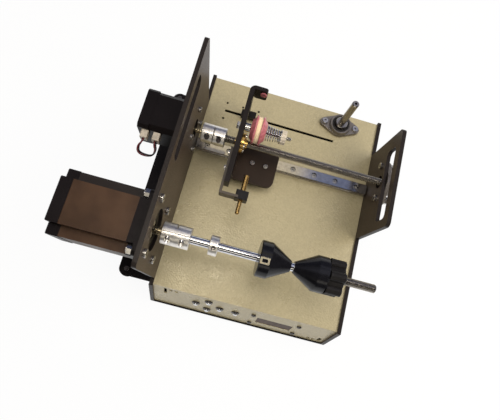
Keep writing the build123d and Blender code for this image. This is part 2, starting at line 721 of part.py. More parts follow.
def make_outer_cone():
    cone = Rot(0, 180, 0) * cone_solid(SHAFT_R + RUN_GAP)
    return Pos(OUTER_CONE_END, SPINDLE_Y, SPINDLE_Z) * cone


KNOB_X = OUTER_CONE_END + KNOB_GAP


def make_knob():
    profile = Circle(KNOB_R - 4.2)
    for n in range(6):
        turn = math.radians(60 * n)
        centre = KNOB_R - 4.6
        profile += Pos(centre * math.cos(turn), centre * math.sin(turn)) * Circle(4.6)
    knob = extrude(profile, amount=KNOB_L)
    knob = chamfer(knob.edges().group_by(Axis.Z)[-1], 0.6)
    knob -= Cylinder(THREAD_R + RUN_GAP, KNOB_L + 2, align=MIN_ALIGN)
    return Pos(KNOB_X, SPINDLE_Y, SPINDLE_Z) * Rot(0, 90, 0) * knob


# ---- traverse motor ----------------------------------------------------------------
def motor2_block(x0, x1, corner, trim=0.0):
    half = MOTOR2_SIDE / 2 - trim
    block = box(x0, x1, SCREW_Y - half, SCREW_Y + half, SCREW_Z - half, SCREW_Z + half)
    return chamfer(block.edges().filter_by(Axis.X), corner)


M2_FACE = -PLATE_T
M2_CAP_X = M2_FACE - 9.0
M2_REAR_X = M2_FACE - MOTOR2_L + 11.0
M2_BACK_X = M2_FACE - MOTOR2_L


def make_motor2_front():
    front = motor2_block(M2_CAP_X, M2_FACE, 3.0)
    front += cyl_x(MOTOR2_PILOT_R, M2_FACE, M2_FACE + 2, SCREW_Y, SCREW_Z)
    front -= cyl_x(6, M2_CAP_X - 1, M2_FACE + 3, SCREW_Y, SCREW_Z)
    for y, z in MOTOR2_BOLTS:
        front -= cyl_x(1.5, M2_FACE - 4.5, M2_FACE + 1, y, z)
    return front


def make_motor2_stack():
    stack = motor2_block(M2_REAR_X, M2_CAP_X, 4.5, 0.3)
    return stack - cyl_x(6, M2_REAR_X - 1, M2_CAP_X + 1, SCREW_Y, SCREW_Z)


def make_motor2_rear():
    rear = motor2_block(M2_BACK_X, M2_REAR_X, 3.0)
    return rear - cyl_x(6, M2_REAR_X - 6, M2_REAR_X + 1, SCREW_Y, SCREW_Z)


def make_motor2_bearings():
    rings = [bearing_ring(M2_FACE - 5, M2_FACE, SCREW_Y, SCREW_Z, 2.55, 6),
             bearing_ring(M2_REAR_X - 5, M2_REAR_X - 0.5, SCREW_Y, SCREW_Z, 2.55, 6)]
    return group(rings)


def make_motor2_screws():
    screws = []
    for y, z in MOTOR2_BOLTS:
        screw = cap_screw(1.5, 8, 2.75, 3.0, 1.25)
        screws.append(Pos(-8, y, z) * Rot(0, 90, 0) * screw)
    return group(screws)


SCREW_COUPLING_X = 8.0


def make_motor2_shaft():
    end = SCREW_COUPLING_X + COUPLING_L / 2 - 0.5
    shaft = cyl_x(2.5, M2_REAR_X - 4.5, end, SCREW_Y, SCREW_Z)
    return shaft + cyl_x(5.5, M2_REAR_X + 3, M2_CAP_X - 3, SCREW_Y, SCREW_Z)


SOCKET_Y = SCREW_Y - MOTOR2_SIDE / 2
SOCKETS_X = (-44.0, -32.0)
SOCKET_Z = 52.0


SOCKET_W = 7.0
LEAD_R = 1.5


def make_socket(x):
    """A white plug housing on the front flank of the traverse motor."""
    body = box(x - SOCKET_W / 2, x + SOCKET_W / 2, SOCKET_Y - 8.0, SOCKET_Y, SOCKET_Z - 4,
               SOCKET_Z + 4)
    body = chamfer(body.edges().filter_by(Axis.Y), 0.5)
    return body - cyl_y(LEAD_R, SOCKET_Y - 9, SOCKET_Y - 3, x, SOCKET_Z)


def make_lead():
    x0, x1 = SOCKETS_X
    y = SOCKET_Y - 3.0
    points = [(x0, y, SOCKET_Z), (x0, y - 8, SOCKET_Z), (x0 - 3, y - 13, SOCKET_Z - 1),
              (x0 - 1, y - 20, SOCKET_Z - 3), (x1 + 1, y - 20, SOCKET_Z - 3),
              (x1 + 3, y - 13, SOCKET_Z - 1), (x1, y - 8, SOCKET_Z), (x1, y, SOCKET_Z)]
    vectors = [Vector(*p) for p in points]
    radii = []
    for a, b, c in zip(vectors, vectors[1:], vectors[2:]):
        turn = (b - a).get_angle(c - b)
        shorter = min((b - a).length, (c - b).length)
        radii.append(0.45 * shorter / math.tan(math.radians(turn) / 2))
    print("lead bend radii", [round(r, 2) for r in radii])
    path = FilletPolyline(*points, radius=radii)
    section = Plane(origin=points[0], z_dir=(0, -1, 0)) * Circle(LEAD_R)
    return sweep(section, path=path)


# ---- traverse ----------------------------------------------------------------------
def make_screw_coupling():
    x0 = SCREW_COUPLING_X
    mid = x0 + COUPLING_L / 2
    body = cyl_x(COUPLING_R, x0, x0 + COUPLING_L, SCREW_Y, SCREW_Z)
    body = chamfer(body.edges().filter_by(GeomType.CIRCLE), 0.5)
    body -= cyl_x(2.5, x0 - 1, mid, SCREW_Y, SCREW_Z)
    body -= cyl_x(SCREW_R, mid, x0 + COUPLING_L + 1, SCREW_Y, SCREW_Z)
    body -= box(mid - 0.5, mid + 0.5, SCREW_Y - 12, SCREW_Y + 4.5, SCREW_Z - 12, SCREW_Z + 12)
    body -= box(x0 - 1, x0 + COUPLING_L + 1, SCREW_Y - 12, SCREW_Y, SCREW_Z - 0.4,
                SCREW_Z + 0.4)
    for x in coupling_screw_places(x0, COUPLING_L):
        body -= cyl_z(1.6, SCREW_Z - 5.5, SCREW_Z + 12, x, SCREW_Y - 6.6)
        body -= cyl_z(2.7, SCREW_Z + 3.4, SCREW_Z + 12, x, SCREW_Y - 6.6)
    return body


def make_screw_coupling_screws():
    screws = []
    for x in coupling_screw_places(SCREW_COUPLING_X, COUPLING_L):
        screw = cap_screw(1.5, 8.4, 2.5, 2.6, 1.25)
        screws.append(Pos(x, SCREW_Y - 6.6, SCREW_Z - 5.0) * screw)
    return group(screws)


SCREW_END = BOX_W + PLATE_T + 12.0


def make_lead_screw():
    start = SCREW_COUPLING_X + COUPLING_L / 2 + 0.5
    screw = cyl_x(SCREW_R, start, SCREW_END, SCREW_Y, SCREW_Z)
    return chamfer(screw.edges().filter_by(GeomType.CIRCLE), 0.6)


def make_rail():
    rail = box(RAIL_X0, RAIL_X0 + RAIL_L, SCREW_Y - RAIL_W / 2, SCREW_Y + RAIL_W / 2, 0, RAIL_H)
    rail = chamfer(rail.edges().filter_by(Axis.X).group_by(Axis.Z)[-1], 0.4)
    for s in (-1, 1):
        groove_y = SCREW_Y + s * (RAIL_W / 2 + 0.6)
        rail -= cyl_x(1.4, RAIL_X0 - 1, RAIL_X0 + RAIL_L + 1, groove_y, 5.2)
    for x in RAIL_HOLES:
        rail -= cyl_z(1.75, -1, RAIL_H + 1, x, SCREW_Y)
        rail -= cyl_z(3.0, RAIL_H - 4.5, RAIL_H + 1, x, SCREW_Y)
    return rail


def make_rail_screws():
    screws = [Pos(x, SCREW_Y, -6.5) * cap_screw(1.5, 10, 2.75, 3.0, 1.25) for x in RAIL_HOLES]
    return group(screws)


def make_rail_nuts():
    return group([Pos(x, SCREW_Y, -SKIN - 2.4) * hex_nut(5.5, 2.4, 1.5) for x in RAIL_HOLES])


def make_rail_block():
    x0, x1 = BLOCK_X - BLOCK_L / 2, BLOCK_X + BLOCK_L / 2
    body = box(x0 + 5, x1 - 5, SCREW_Y - BLOCK_W / 2, SCREW_Y + BLOCK_W / 2, 3, BLOCK_TOP)
    body = chamfer(body.edges().filter_by(Axis.X).group_by(Axis.Z)[-1], 0.6)
    body -= box(x0, x1, SCREW_Y - RAIL_W / 2 - 0.05, SCREW_Y + RAIL_W / 2 + 0.05, 2,
                RAIL_H + 0.1)
    for a, b in CORNERS:
        body -= cyl_z(1.5, 8.8, BLOCK_TOP + 1, BLOCK_X + a * 7.5, SCREW_Y + b * 10)
    return body


def make_block_caps():
    caps = []
    for x0 in (BLOCK_X - BLOCK_L / 2, BLOCK_X + BLOCK_L / 2 - 5):
        cap = box(x0, x0 + 5, SCREW_Y - BLOCK_W / 2 + 0.4, SCREW_Y + BLOCK_W / 2 - 0.4,
                  3.2, BLOCK_TOP - 0.6)
        cap = chamfer(cap.edges().filter_by(Axis.X).group_by(Axis.Z)[-1], 1.5)
        cap -= box(x0 - 1, x0 + 6, SCREW_Y - RAIL_W / 2 - 0.3, SCREW_Y + RAIL_W / 2 + 0.3, 2,
                   RAIL_H + 0.3)
        caps.append(cap)
    return group(caps)


TABLE_LEFT = BAR_X + BAR_T
TABLE_MID = (BLOCK_TOP + BLOCK_TOP + TABLE_T) / 2
BAR_SCREWS_Y = (138.0, 167.0)


def make_table():
    plate = box(TABLE_LEFT, TABLE_RIGHT, TABLE_FRONT, TABLE_BACK, BLOCK_TOP, BLOCK_TOP + TABLE_T)
    right = plate.edges().filter_by(Axis.Z).group_by(Axis.X)[-1].sort_by(Axis.Y)
    plate = fillet(right[0], 8)
    right = plate.edges().filter_by(Axis.Z).sort_by(Axis.Y)
    plate = fillet(right[-1], 4)
    for a, b in CORNERS:
        plate -= cyl_z(1.6, BLOCK_TOP - 1, BLOCK_TOP + TABLE_T + 1, BLOCK_X + a * 7.5,
                       SCREW_Y + b * 10)
    for y in BAR_SCREWS_Y:
        plate -= cyl_x(1.5, TABLE_LEFT - 1, TABLE_LEFT + 7.5, y, TABLE_MID)
    return plate


def make_table_screws():
    screws = []
    for a, b in CORNERS:
        screw = cap_screw(1.5, 8, 2.8, 1.65, 1.0)
        screws.append(Pos(BLOCK_X + a * 7.5, SCREW_Y + b * 10, BLOCK_TOP + TABLE_T - 8) * screw)
    return group(screws)


def make_guide_bar():
    outline = [(TABLE_FRONT, BLOCK_TOP), (TABLE_BACK, BLOCK_TOP), (TABLE_BACK, BAR_LOW),
               (BAR_BACK, BAR_LOW), (BAR_BACK, BAR_TOP), (BAR_FRONT, BAR_TOP),
               (BAR_FRONT, ARM_LOW - 2), (TABLE_FRONT, ARM_LOW - 8)]
    bar = profile_x(outline, BAR_X, BAR_X + BAR_T)
    tab = box(BAR_X + 1, TAB_END, BAR_BACK - 4, BAR_BACK, BAR_LOW, BAR_TOP)
    tab = fillet(tab.edges().filter_by(Axis.Y).group_by(Axis.X)[-1], 3)
    bar += tab
    outer = bar.edges().filter_by(Axis.Z).group_by(Axis.X)[0].sort_by(Axis.Y)[-1]
    bar = fillet(outer, 6)
    bar -= cyl_y(2.6, BAR_BACK - 6, BAR_BACK + 2, EYELET_X, EYELET_Z)
    bar -= cyl_x(5.15, BAR_X - 1, BAR_X + BAR_T + 1, SCREW_Y, SCREW_Z)
    bar -= cyl_x(STUD_R, BAR_X - 1, BAR_X + BAR_T + 1, STUD_Y, STUD_Z)
    for y in BAR_SCREWS_Y:
        bar -= cyl_x(1.6, BAR_X - 1, BAR_X + BAR_T + 1, y, TABLE_MID)
    for y, z in nut_bolt_places():
        bar -= cyl_x(1.5, BAR_X - 1, BAR_X + BAR_T + 1, y, z)
    for y in ARM_SCREWS_Y:
        bar -= cyl_x(1.5, BAR_X - 1, BAR_X + BAR_T + 1, y, ARM_MID)
    bar -= box(BAR_X - 1, BAR_X + BAR_T + 1, FLAG_Y0 + 1, FLAG_Y1 - 1, BAR_LOW - 1, BAR_LOW + 1.5)
    return bar


def make_bar_screws():
    screws = [Pos(TABLE_LEFT + 7, y, TABLE_MID) * Rot(0, -90, 0) * cap_screw(
        1.5, BAR_T + 7, 2.75, 1.65, 1.0) for y in BAR_SCREWS_Y]
    return group(screws)


def nut_bolt_places():
    reach = 8.0 * math.sqrt(0.5)
    return [(SCREW_Y + a * reach, SCREW_Z + b * reach) for a, b in CORNERS]


NUT_FLANGE_T = 3.5


def make_screw_nut():
    """Its flange lies on the right face of the guide bar."""
    face = BAR_X + BAR_T
    nut = cyl_x(11, face, face + NUT_FLANGE_T, SCREW_Y, SCREW_Z)
    nut = chamfer(nut.edges().filter_by(GeomType.CIRCLE), 0.3)
    nut += cyl_x(5.1, BAR_X - 1, face + NUT_FLANGE_T + 3.5, SCREW_Y, SCREW_Z)
    nut -= cyl_x(SCREW_R + RUN_GAP, BAR_X - 2, face + 9, SCREW_Y, SCREW_Z)
    for y, z in nut_bolt_places():
        nut -= cyl_x(1.6, face - 1, face + 5, y, z)
    return nut


def make_nut_screws():
    screws = []
    for y, z in nut_bolt_places():
        screw = cap_screw(1.5, 8, 2.4, 1.4, 0.9)
        screws.append(Pos(BAR_X + BAR_T + NUT_FLANGE_T - 8, y, z) * Rot(0, 90, 0) * screw)
    return group(screws)


FLAG_Y0 = SLOT_Y - 4.5
FLAG_Y1 = SLOT_Y + 3.5


def make_limit_flag():
    """Hangs from the guide bar and reaches through the cover's slot to the light gate."""
    web = box(BAR_X, BAR_X + BAR_T, FLAG_Y0, FLAG_Y1, 8, BAR_LOW)
    tenon = box(BAR_X, BAR_X + BAR_T, FLAG_Y0 + 1, FLAG_Y1 - 1, BAR_LOW - 1, BAR_LOW + 1.5)
    foot = box(BAR_X - 4.3, BAR_X + 12.7, FLAG_Y0, FLAG_Y1, 2.5, 9)
    blade = box(BAR_X - 4.3, BAR_X + 12.7, SLOT_Y - 0.9, SLOT_Y + 0.9, -12, 3)
    return web + tenon + foot + blade


# ---- arm and nozzle ----------------------------------------------------------------
ARM_MID = (ARM_LOW + ARM_TOP) / 2
ARM_SCREWS_Y = (125.0, 141.0)
CLAMP_X0 = NOZZLE_X - 6.2
CLAMP_X1 = NOZZLE_X + 6.2
CLAMP_Y0 = ARM_FRONT - 1.0
CLAMP_Y1 = ARM_FRONT + 8.0


def make_guide_arm():
    arm = box(BAR_X - ARM_T, BAR_X, ARM_FRONT, 147, ARM_LOW, ARM_TOP)
    arm = fillet(arm.edges().filter_by(Axis.X).group_by(Axis.Y)[-1], 3)
    arm += box(BAR_X - ARM_T, CLAMP_X0 + 3, ARM_FRONT, ARM_FRONT + ARM_T, ARM_LOW, ARM_TOP)
    outer = arm.edges().filter_by(Axis.Z).group_by(Axis.X)[0].sort_by(Axis.Y)[0]
    arm = fillet(outer, 1.8)
    for y in ARM_SCREWS_Y:
        arm -= cyl_x(1.6, BAR_X - ARM_T - 1, BAR_X + 1, y, ARM_MID)
    return arm


def make_arm_screws():
    screws = []
    for y in ARM_SCREWS_Y:
        screw = cap_screw(1.5, ARM_T + 4.5, 2.75, 1.65, 1.0)
        screws.append(Pos(BAR_X + 4.5, y, ARM_MID) * Rot(0, -90, 0) * screw)
    return group(screws)


def make_nozzle_clamp():
    clamp = box(CLAMP_X0, CLAMP_X1, CLAMP_Y0, CLAMP_Y1, ARM_LOW, ARM_TOP)
    clamp = chamfer(clamp.edges().filter_by(Axis.Y), 0.8)
    clamp -= box(CLAMP_X0 - 1, CLAMP_X0 + 3, ARM_FRONT, ARM_FRONT + ARM_T, ARM_LOW - 1,
                 ARM_TOP + 1)
    clamp -= cyl_y(2.5, CLAMP_Y0 - 1, CLAMP_Y1 + 1, NOZZLE_X, ARM_MID)
    clamp -= cyl_z(1.5, ARM_LOW - 1, ARM_MID - 2, NOZZLE_X, (CLAMP_Y0 + CLAMP_Y1) / 2)
    return clamp


def make_clamp_screw():
    mid = (CLAMP_Y0 + CLAMP_Y1) / 2
    screw = cap_screw(1.5, ARM_MID - ARM_LOW - 2.5, 2.75, 1.65, 1.0)
    return Pos(NOZZLE_X, mid, ARM_MID - 2.5) * Rot(180, 0, 0) * screw


def make_nozzle():
    tube = cyl_y(2.5, CLAMP_Y0, NOZZLE_BACK, NOZZLE_X, ARM_MID)
    tube = chamfer(tube.edges().filter_by(GeomType.CIRCLE).sort_by(Axis.Y)[-1], 0.5)
    tip = cyl_y(2.0, NOZZLE_TIP, CLAMP_Y0, NOZZLE_X, ARM_MID)
    tip = fillet(tip.edges().filter_by(GeomType.CIRCLE).sort_by(Axis.Y)[0], 0.9)
    return tube + tip - cyl_y(NOZZLE_BORE_R, NOZZLE_TIP - 1, NOZZLE_BACK + 1, NOZZLE_X, ARM_MID)


def make_eyelet():
    y0, y1 = BAR_BACK - 4, BAR_BACK
    ring = cyl_y(2.6, y0, y1, EYELET_X, EYELET_Z)
    for a, b in ((y0 - 1.4, y0), (y1, y1 + 1.4)):
        flange = cyl_y(3.5, a, b, EYELET_X, EYELET_Z)
        ring += fillet(flange.edges().filter_by(GeomType.CIRCLE), 0.5)
    return ring - cyl_y(1.3, y0 - 3, y1 + 3, EYELET_X, EYELET_Z)


# ---- wire tensioner ----------------------------------------------------------------
SPACER_X1 = DISC_X - 0.3
FELT_X = DISC_X + DISC_T
DISC2_X = FELT_X + FELT_T
STACK_END = DISC2_X + DISC_T
SPRING_X = STACK_END + 0.3
WASHER_X = SPRING_X + SPRING_L
WASHER_T = 1.2
NUT_X = WASHER_X + WASHER_T + 0.1
NUT_T = 5.0
STUD_END = 98.0


def make_stud():
    stud = cyl_x(STUD_R, BAR_X - 1, STUD_END, STUD_Y, STUD_Z)
    stud = chamfer(stud.edges().filter_by(GeomType.CIRCLE).sort_by(Axis.X)[-1], 0.5)
    head = Pos(BAR_X, STUD_Y, STUD_Z) * Rot(0, -90, 0) * hex_prism(7.0, 3.2)
    return stud + head


def make_spacer():
    spacer = cyl_x(4.6, BAR_X + BAR_T, SPACER_X1, STUD_Y, STUD_Z)
    return spacer - cyl_x(STUD_R, BAR_X, SPACER_X1 + 1, STUD_Y, STUD_Z)


def disc_solid(x0, outward):
    """A ceramic disc with a dished rim, its flat side on the felt."""
    flat, dish = (x0 + DISC_T, x0) if outward < 0 else (x0, x0 + DISC_T)
    rim = sorted((flat, flat + outward * 2.2))
    disc = cyl_x(DISC_R, rim[0], rim[1], STUD_Y, STUD_Z)
    disc = fillet(disc.edges().filter_by(GeomType.CIRCLE), 0.8)
    hub = sorted((flat + outward * 1.8, dish))
    if outward < 0:
        disc += cone_x(HUB_R, DISC_R - 1.5, hub[0], hub[1], STUD_Y, STUD_Z)
    else:
        disc += cone_x(DISC_R - 1.5, HUB_R, hub[0], hub[1], STUD_Y, STUD_Z)
    return disc - cyl_x(STUD_R + RUN_GAP, x0 - 1, x0 + DISC_T + 1, STUD_Y, STUD_Z)


def make_felt():
    felt = cyl_x(DISC_R - 0.9, FELT_X, DISC2_X, STUD_Y, STUD_Z)
    return felt - cyl_x(STUD_R + RUN_GAP, FELT_X - 1, DISC2_X + 1, STUD_Y, STUD_Z)


def make_spring():
    """One wire wound in even curls that narrow to the washer: two arcs to each quarter turn."""
    run = SPRING_L - 2 * SPRING_WIRE_R
    pitch = run / SPRING_COILS
    steps = round(SPRING_COILS * 4)
    slope = pitch / (2 * math.pi)
    taper = (SPRING_NARROW_R - SPRING_WIDE_R) / (2 * math.pi * SPRING_COILS)

    def place(turn):
        r = SPRING_WIDE_R + taper * turn
        return Vector(SPRING_X + SPRING_WIRE_R + slope * turn,
                      STUD_Y + r * math.cos(turn), STUD_Z + r * math.sin(turn))

    def heading(turn):
        r = SPRING_WIDE_R + taper * turn
        return Vector(slope, taper * math.cos(turn) - r * math.sin(turn),
                      taper * math.sin(turn) + r * math.cos(turn)).normalized()

    edges = []
    for n in range(steps):
        t0, t1 = n * math.pi / 2, (n + 1) * math.pi / 2
        p0, p1, h0, h1 = place(t0), place(t1), heading(t0), heading(t1)
        chord = p1 - p0
        a = 2 * (1 - h0.dot(h1))
        b = 2 * chord.dot(h0 + h1)
        d = (math.sqrt(b * b + 4 * a * chord.dot(chord)) - b) / (2 * a)
        middle = (p0 + p1 + (h0 - h1) * d) * 0.5
        edges.append(Edge.make_tangent_arc(p0, h0, middle))
        join = (p1 - h1 * d - middle).normalized()
        edges.append(Edge.make_tangent_arc(middle, join, p1))
    gap = pitch * math.cos(math.atan(slope / SPRING_NARROW_R)) - 2 * SPRING_WIRE_R
    print("spring pitch", round(pitch, 3), "least gap between curls", round(gap, 3))
    section = Plane(origin=place(0), z_dir=heading(0)) * Circle(SPRING_WIRE_R)
    return sweep(section, path=Wire(edges))


def make_washer():
    washer = cyl_x(WASHER_R, WASHER_X, WASHER_X + WASHER_T, STUD_Y, STUD_Z)
    return washer - cyl_x(STUD_R + RUN_GAP, WASHER_X - 1, WASHER_X + 3, STUD_Y, STUD_Z)


def make_tension_nut():
    nut = cyl_x(NUT_R, NUT_X, NUT_X + NUT_T, STUD_Y, STUD_Z)
    for n in range(12):
        turn = math.radians(30 * n)
        y = STUD_Y + (NUT_R + 0.6) * math.cos(turn)
        z = STUD_Z + (NUT_R + 0.6) * math.sin(turn)
        nut -= cyl_x(1.1, NUT_X - 1, NUT_X + NUT_T + 1, y, z)
    return nut - cyl_x(STUD_R + RUN_GAP, NUT_X - 1, NUT_X + NUT_T + 1, STUD_Y, STUD_Z)


# ---- flange bearings ---------------------------------------------------------------
def flange_housing():
    """Two-bolt flange along Z with its seat for the bearing."""
    outline = make_hull((Circle(13.4).edges() + (Pos(FLANGE_PITCH / 2, 0) * Circle(5.4)).edges()
                         + (Pos(-FLANGE_PITCH / 2, 0) * Circle(5.4)).edges()))
    body = extrude(outline, amount=4.4)
    body = fillet(body.edges().group_by(Axis.Z)[-1], 0.8)
    body += Pos(0, 0, 4.0) * Cone(13.0, 12.0, 4.6, align=MIN_ALIGN)
    body -= Cylinder(11.0, 30)
    for s in (-1, 1):
        body -= Pos(s * FLANGE_PITCH / 2, 0, 0) * Cylinder(2.1, 20)
    return body


def outer_race():
    ring = Pos(0, 0, 1.0) * Cylinder(11.0, 7.0, align=MIN_ALIGN)
    return ring - Cylinder(7.2, 30)


def inner_race():
    ring = Pos(0, 0, 0.8) * Cylinder(7.0, 11.0, align=MIN_ALIGN)
    ring = chamfer(ring.edges().group_by(Axis.Z)[-1], 0.6)
    ring -= Cylinder(4.0, 40)
    return ring - Pos(0, -5.4, 10) * Rot(90, 0, 0) * Cylinder(1.5, 4)


def race_screw():
    """Grub screw in the bearing's collar."""
    screw = Pos(0, -4.05, 10) * Rot(90, 0, 0) * Cylinder(1.5, 2.7, align=MIN_ALIGN)
    return screw


SCREW_END_PLACE = Pos(BOX_W + PLATE_T, SCREW_Y, SCREW_Z) * Rot(0, 90, 0) * Rot(0, 0, 90)
ROD_PLACE = Pos(ROD_X, ROD_Y, 0)


def make_rod_bolts():
    """Bolts of the spool rod's flange, their nuts under the cover."""
    depth = SKIN + 4.4 + 4.0
    bolts = []
    for s in (-1, 1):
        bolt = cap_screw(2.0, depth, 3.5, 2.4, 1.25)
        nut = Pos(0, 0, 4.0 - 3.0) * hex_prism(7.0, 3.0)
        bolts.append(Pos(ROD_X + s * FLANGE_PITCH / 2, ROD_Y, 4.4 - depth) * (bolt + nut))
    return group(bolts)


def make_screw_end_bolts():
    depth = PLATE_T + 4.4 + 4.2
    bolts = []
    for s in (-1, 1):
        y = SCREW_Y + s * FLANGE_PITCH / 2
        bolt = cap_screw(2.0, depth, 3.5, 2.4, 1.25)
        nut = Pos(0, 0, 1.2) * hex_prism(7.0, 3.0)
        bolts.append(Pos(BOX_W + depth, y, SCREW_Z) * Rot(0, -90, 0) * (bolt + nut))
    return group(bolts)


ROD_SEAT = 12.3          # top of the full width, just past the bearing's collar


def make_rod():
    """Full width in its bearing and a little slimmer above, down a short shoulder."""
    foot = cyl_z(ROD_R, -6, ROD_SEAT, ROD_X, ROD_Y)
    foot = chamfer(foot.edges().group_by(Axis.Z)[0], 0.8)
    shoulder = Pos(ROD_X, ROD_Y, ROD_SEAT) * Cone(ROD_R, ROD_SLIM_R, 0.5, align=MIN_ALIGN)
    pin = cyl_z(ROD_SLIM_R, ROD_SEAT + 0.5, ROD_TOP, ROD_X, ROD_Y)
    pin = chamfer(pin.edges().group_by(Axis.Z)[-1], 0.8)
    rod = foot + shoulder + pin
    return rod - cyl_z(1.4, ROD_TOP - 6, ROD_TOP + 1, ROD_X, ROD_Y)


# ---- assembly ----------------------------------------------------------------------
def flange_bearing(place):
    return [place * flange_housing(), place * outer_race()]


def build():
    nodes = {
        "cover": make_cover(),
        "base_plate": make_base(),
        "left_plate": make_left_plate(),
        "right_plate": make_right_plate(),
        "corner_blocks": make_blocks(),
        "box_screws": group([make_box_screws(), make_foot_screws(), make_inlet_screws()]),
        "rubber_feet": make_feet(),
        "button_bezels": group([make_bezels(), make_button_nuts()]),
        "button_bodies": make_button_bodies(),
        "lcd_module": make_lcd_module(),
        "standoffs": group([make_standoffs(), make_lcd_spacers(), make_lcd_screws()]),
        "controller_board": group([make_board(), make_drivers()]),
        "power_inlet": make_inlet(),
        "limit_sensor": make_limit_sensor(),
        "motor1_caps": group([make_motor1_front(), make_motor1_rear()]),
        "motor1_stack": make_motor1_stack(),
        "motor2_caps": group([make_motor2_front(), make_motor2_rear()]),
        "motor2_stack": make_motor2_stack(),
        "motor_bearings": group([make_motor1_bearings(), make_motor2_bearings()]),
        "motor_bolts": group([make_motor1_bolts(), make_motor1_nuts(), make_motor2_screws()]),
        "motor2_sockets": group([make_socket(x) for x in SOCKETS_X]),
        "motor2_lead": make_lead(),
        "guide_rail": make_rail(),
        "rail_bolts": group([make_rail_screws(), make_rail_nuts(), make_screw_end_bolts(),
                             make_rod_bolts()]),
        "flange_bearings": group(flange_bearing(SCREW_END_PLACE) + flange_bearing(ROD_PLACE)),
        "motor1_shaft": make_motor1_shaft(),
        "spindle_coupling": group([make_coupling_half(1), make_coupling_half(-1)]),
        "spindle_screws": group([make_coupling_screws(), make_collar_screw()]),
        "spindle_shaft": make_spindle_shaft(),
        "shaft_collar": make_collar(),
        "inner_cone": make_inner_cone(),
        "wire_catch": make_wire_catch(),
        "outer_cone": make_outer_cone(),
        "clamp_knob": make_knob(),
        "motor2_shaft": make_motor2_shaft(),
        "screw_coupling": make_screw_coupling(),
        "coupling_screws": make_screw_coupling_screws(),
        "lead_screw": group([make_lead_screw(), SCREW_END_PLACE * inner_race(),
                             SCREW_END_PLACE * race_screw()]),
        "rail_block": group([make_rail_block(), make_block_caps()]),
        "carriage_plate": make_table(),
        "guide_bar": make_guide_bar(),
        "screw_nut": make_screw_nut(),
        "carriage_screws": group([make_table_screws(), make_bar_screws(), make_nut_screws(),
                                  make_arm_screws(), make_clamp_screw()]),
        "guide_arm": make_guide_arm(),
        "nozzle_clamp": make_nozzle_clamp(),
        "nozzle_tube": make_nozzle(),
        "eyelet": make_eyelet(),
        "tension_stud": group([make_stud(), make_spacer()]),
        "limit_flag": make_limit_flag(),
        "tension_discs": group([disc_solid(DISC_X, -1), disc_solid(DISC2_X, 1)]),
        "tension_felt": make_felt(),
        "tension_spring": make_spring(),
        "tension_washer": make_washer(),
        "tension_nut": make_tension_nut(),
        "spool_rod": group([make_rod(), ROD_PLACE * inner_race(), ROD_PLACE * race_screw()]),
    }
    for name, (x, v) in BUTTONS.items():
        nodes[name] = make_cap(x, v)
    return nodes


def main():
    nodes = build()
    whole = Compound(children=[s for shape in nodes.values() for s in shape.solids()])
    span = whole.bounding_box()
    shift = Pos(-(span.min.X + span.max.X) / 2, -(span.min.Y + span.max.Y) / 2, -span.min.Z)
    print("shift", tuple(round(v, 4) for v in shift.position))
    os.makedirs("parts", exist_ok=True)
    for name, shape in nodes.items():
        export_step(shift * shape, f"parts/{name}.step")
    print(len(nodes), "nodes")


main()
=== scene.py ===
import json
import math

import bpy
from mathutils import Matrix, Vector, noise


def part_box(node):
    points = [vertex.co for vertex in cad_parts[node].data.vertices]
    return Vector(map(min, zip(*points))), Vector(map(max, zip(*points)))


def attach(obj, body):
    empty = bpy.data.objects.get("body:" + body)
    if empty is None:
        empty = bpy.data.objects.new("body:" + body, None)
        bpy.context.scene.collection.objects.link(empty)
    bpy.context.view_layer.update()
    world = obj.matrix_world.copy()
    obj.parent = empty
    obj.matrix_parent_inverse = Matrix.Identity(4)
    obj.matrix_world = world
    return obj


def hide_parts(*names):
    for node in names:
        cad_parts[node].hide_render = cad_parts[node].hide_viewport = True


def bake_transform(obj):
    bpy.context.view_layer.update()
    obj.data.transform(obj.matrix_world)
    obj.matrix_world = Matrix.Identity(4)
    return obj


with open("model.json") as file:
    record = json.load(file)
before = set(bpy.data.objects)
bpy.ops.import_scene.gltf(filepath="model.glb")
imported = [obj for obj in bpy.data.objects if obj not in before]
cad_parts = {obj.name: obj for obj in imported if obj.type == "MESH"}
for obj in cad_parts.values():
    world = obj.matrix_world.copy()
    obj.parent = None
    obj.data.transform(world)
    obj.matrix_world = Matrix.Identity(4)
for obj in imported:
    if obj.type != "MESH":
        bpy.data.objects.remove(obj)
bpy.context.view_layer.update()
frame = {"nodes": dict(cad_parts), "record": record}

MM = 0.001
X_AXIS = Vector((1, 0, 0))
Y_AXIS = Vector((0, 1, 0))
Z_AXIS = Vector((0, 0, 1))

# ---- camera -------------------------------------------------------------------------
# Fitted to the photograph: its width, focal length and principal point in pixels, and the
# camera's place and axes in the row frame.
PHOTO_W = 500
FOCAL_PX = 394.336
CENTRE_PX = (250.052, 220.012)
MIDDLE_PX = (250.0, 210.0)
SENSOR_MM = 36.0
CLIP_NEAR = 0.01
CLIP_FAR = 20
EYE = Vector((-0.01116, -0.12308, 0.48454))
RIGHT = Vector((0.96283571, 0.24650127, 0.11038353))
DOWN = Vector((0.26468624, -0.9425055, -0.20402102))
FORWARD = Vector((0.05374564, 0.22565572, -0.97272345))


def make_camera():
    data = bpy.data.cameras.new("camera")
    data.sensor_width = SENSOR_MM
    data.lens = FOCAL_PX / PHOTO_W * SENSOR_MM
    data.shift_x = (MIDDLE_PX[0] - CENTRE_PX[0]) / PHOTO_W
    data.shift_y = (CENTRE_PX[1] - MIDDLE_PX[1]) / PHOTO_W
    data.clip_start = CLIP_NEAR
    data.clip_end = CLIP_FAR
    camera = bpy.data.objects.new("camera", data)
    turn = Matrix((RIGHT, -DOWN, -FORWARD)).transposed()
    camera.matrix_world = Matrix.Translation(EYE) @ turn.to_4x4()
    bpy.context.scene.collection.objects.link(camera)
    bpy.context.scene.camera = camera


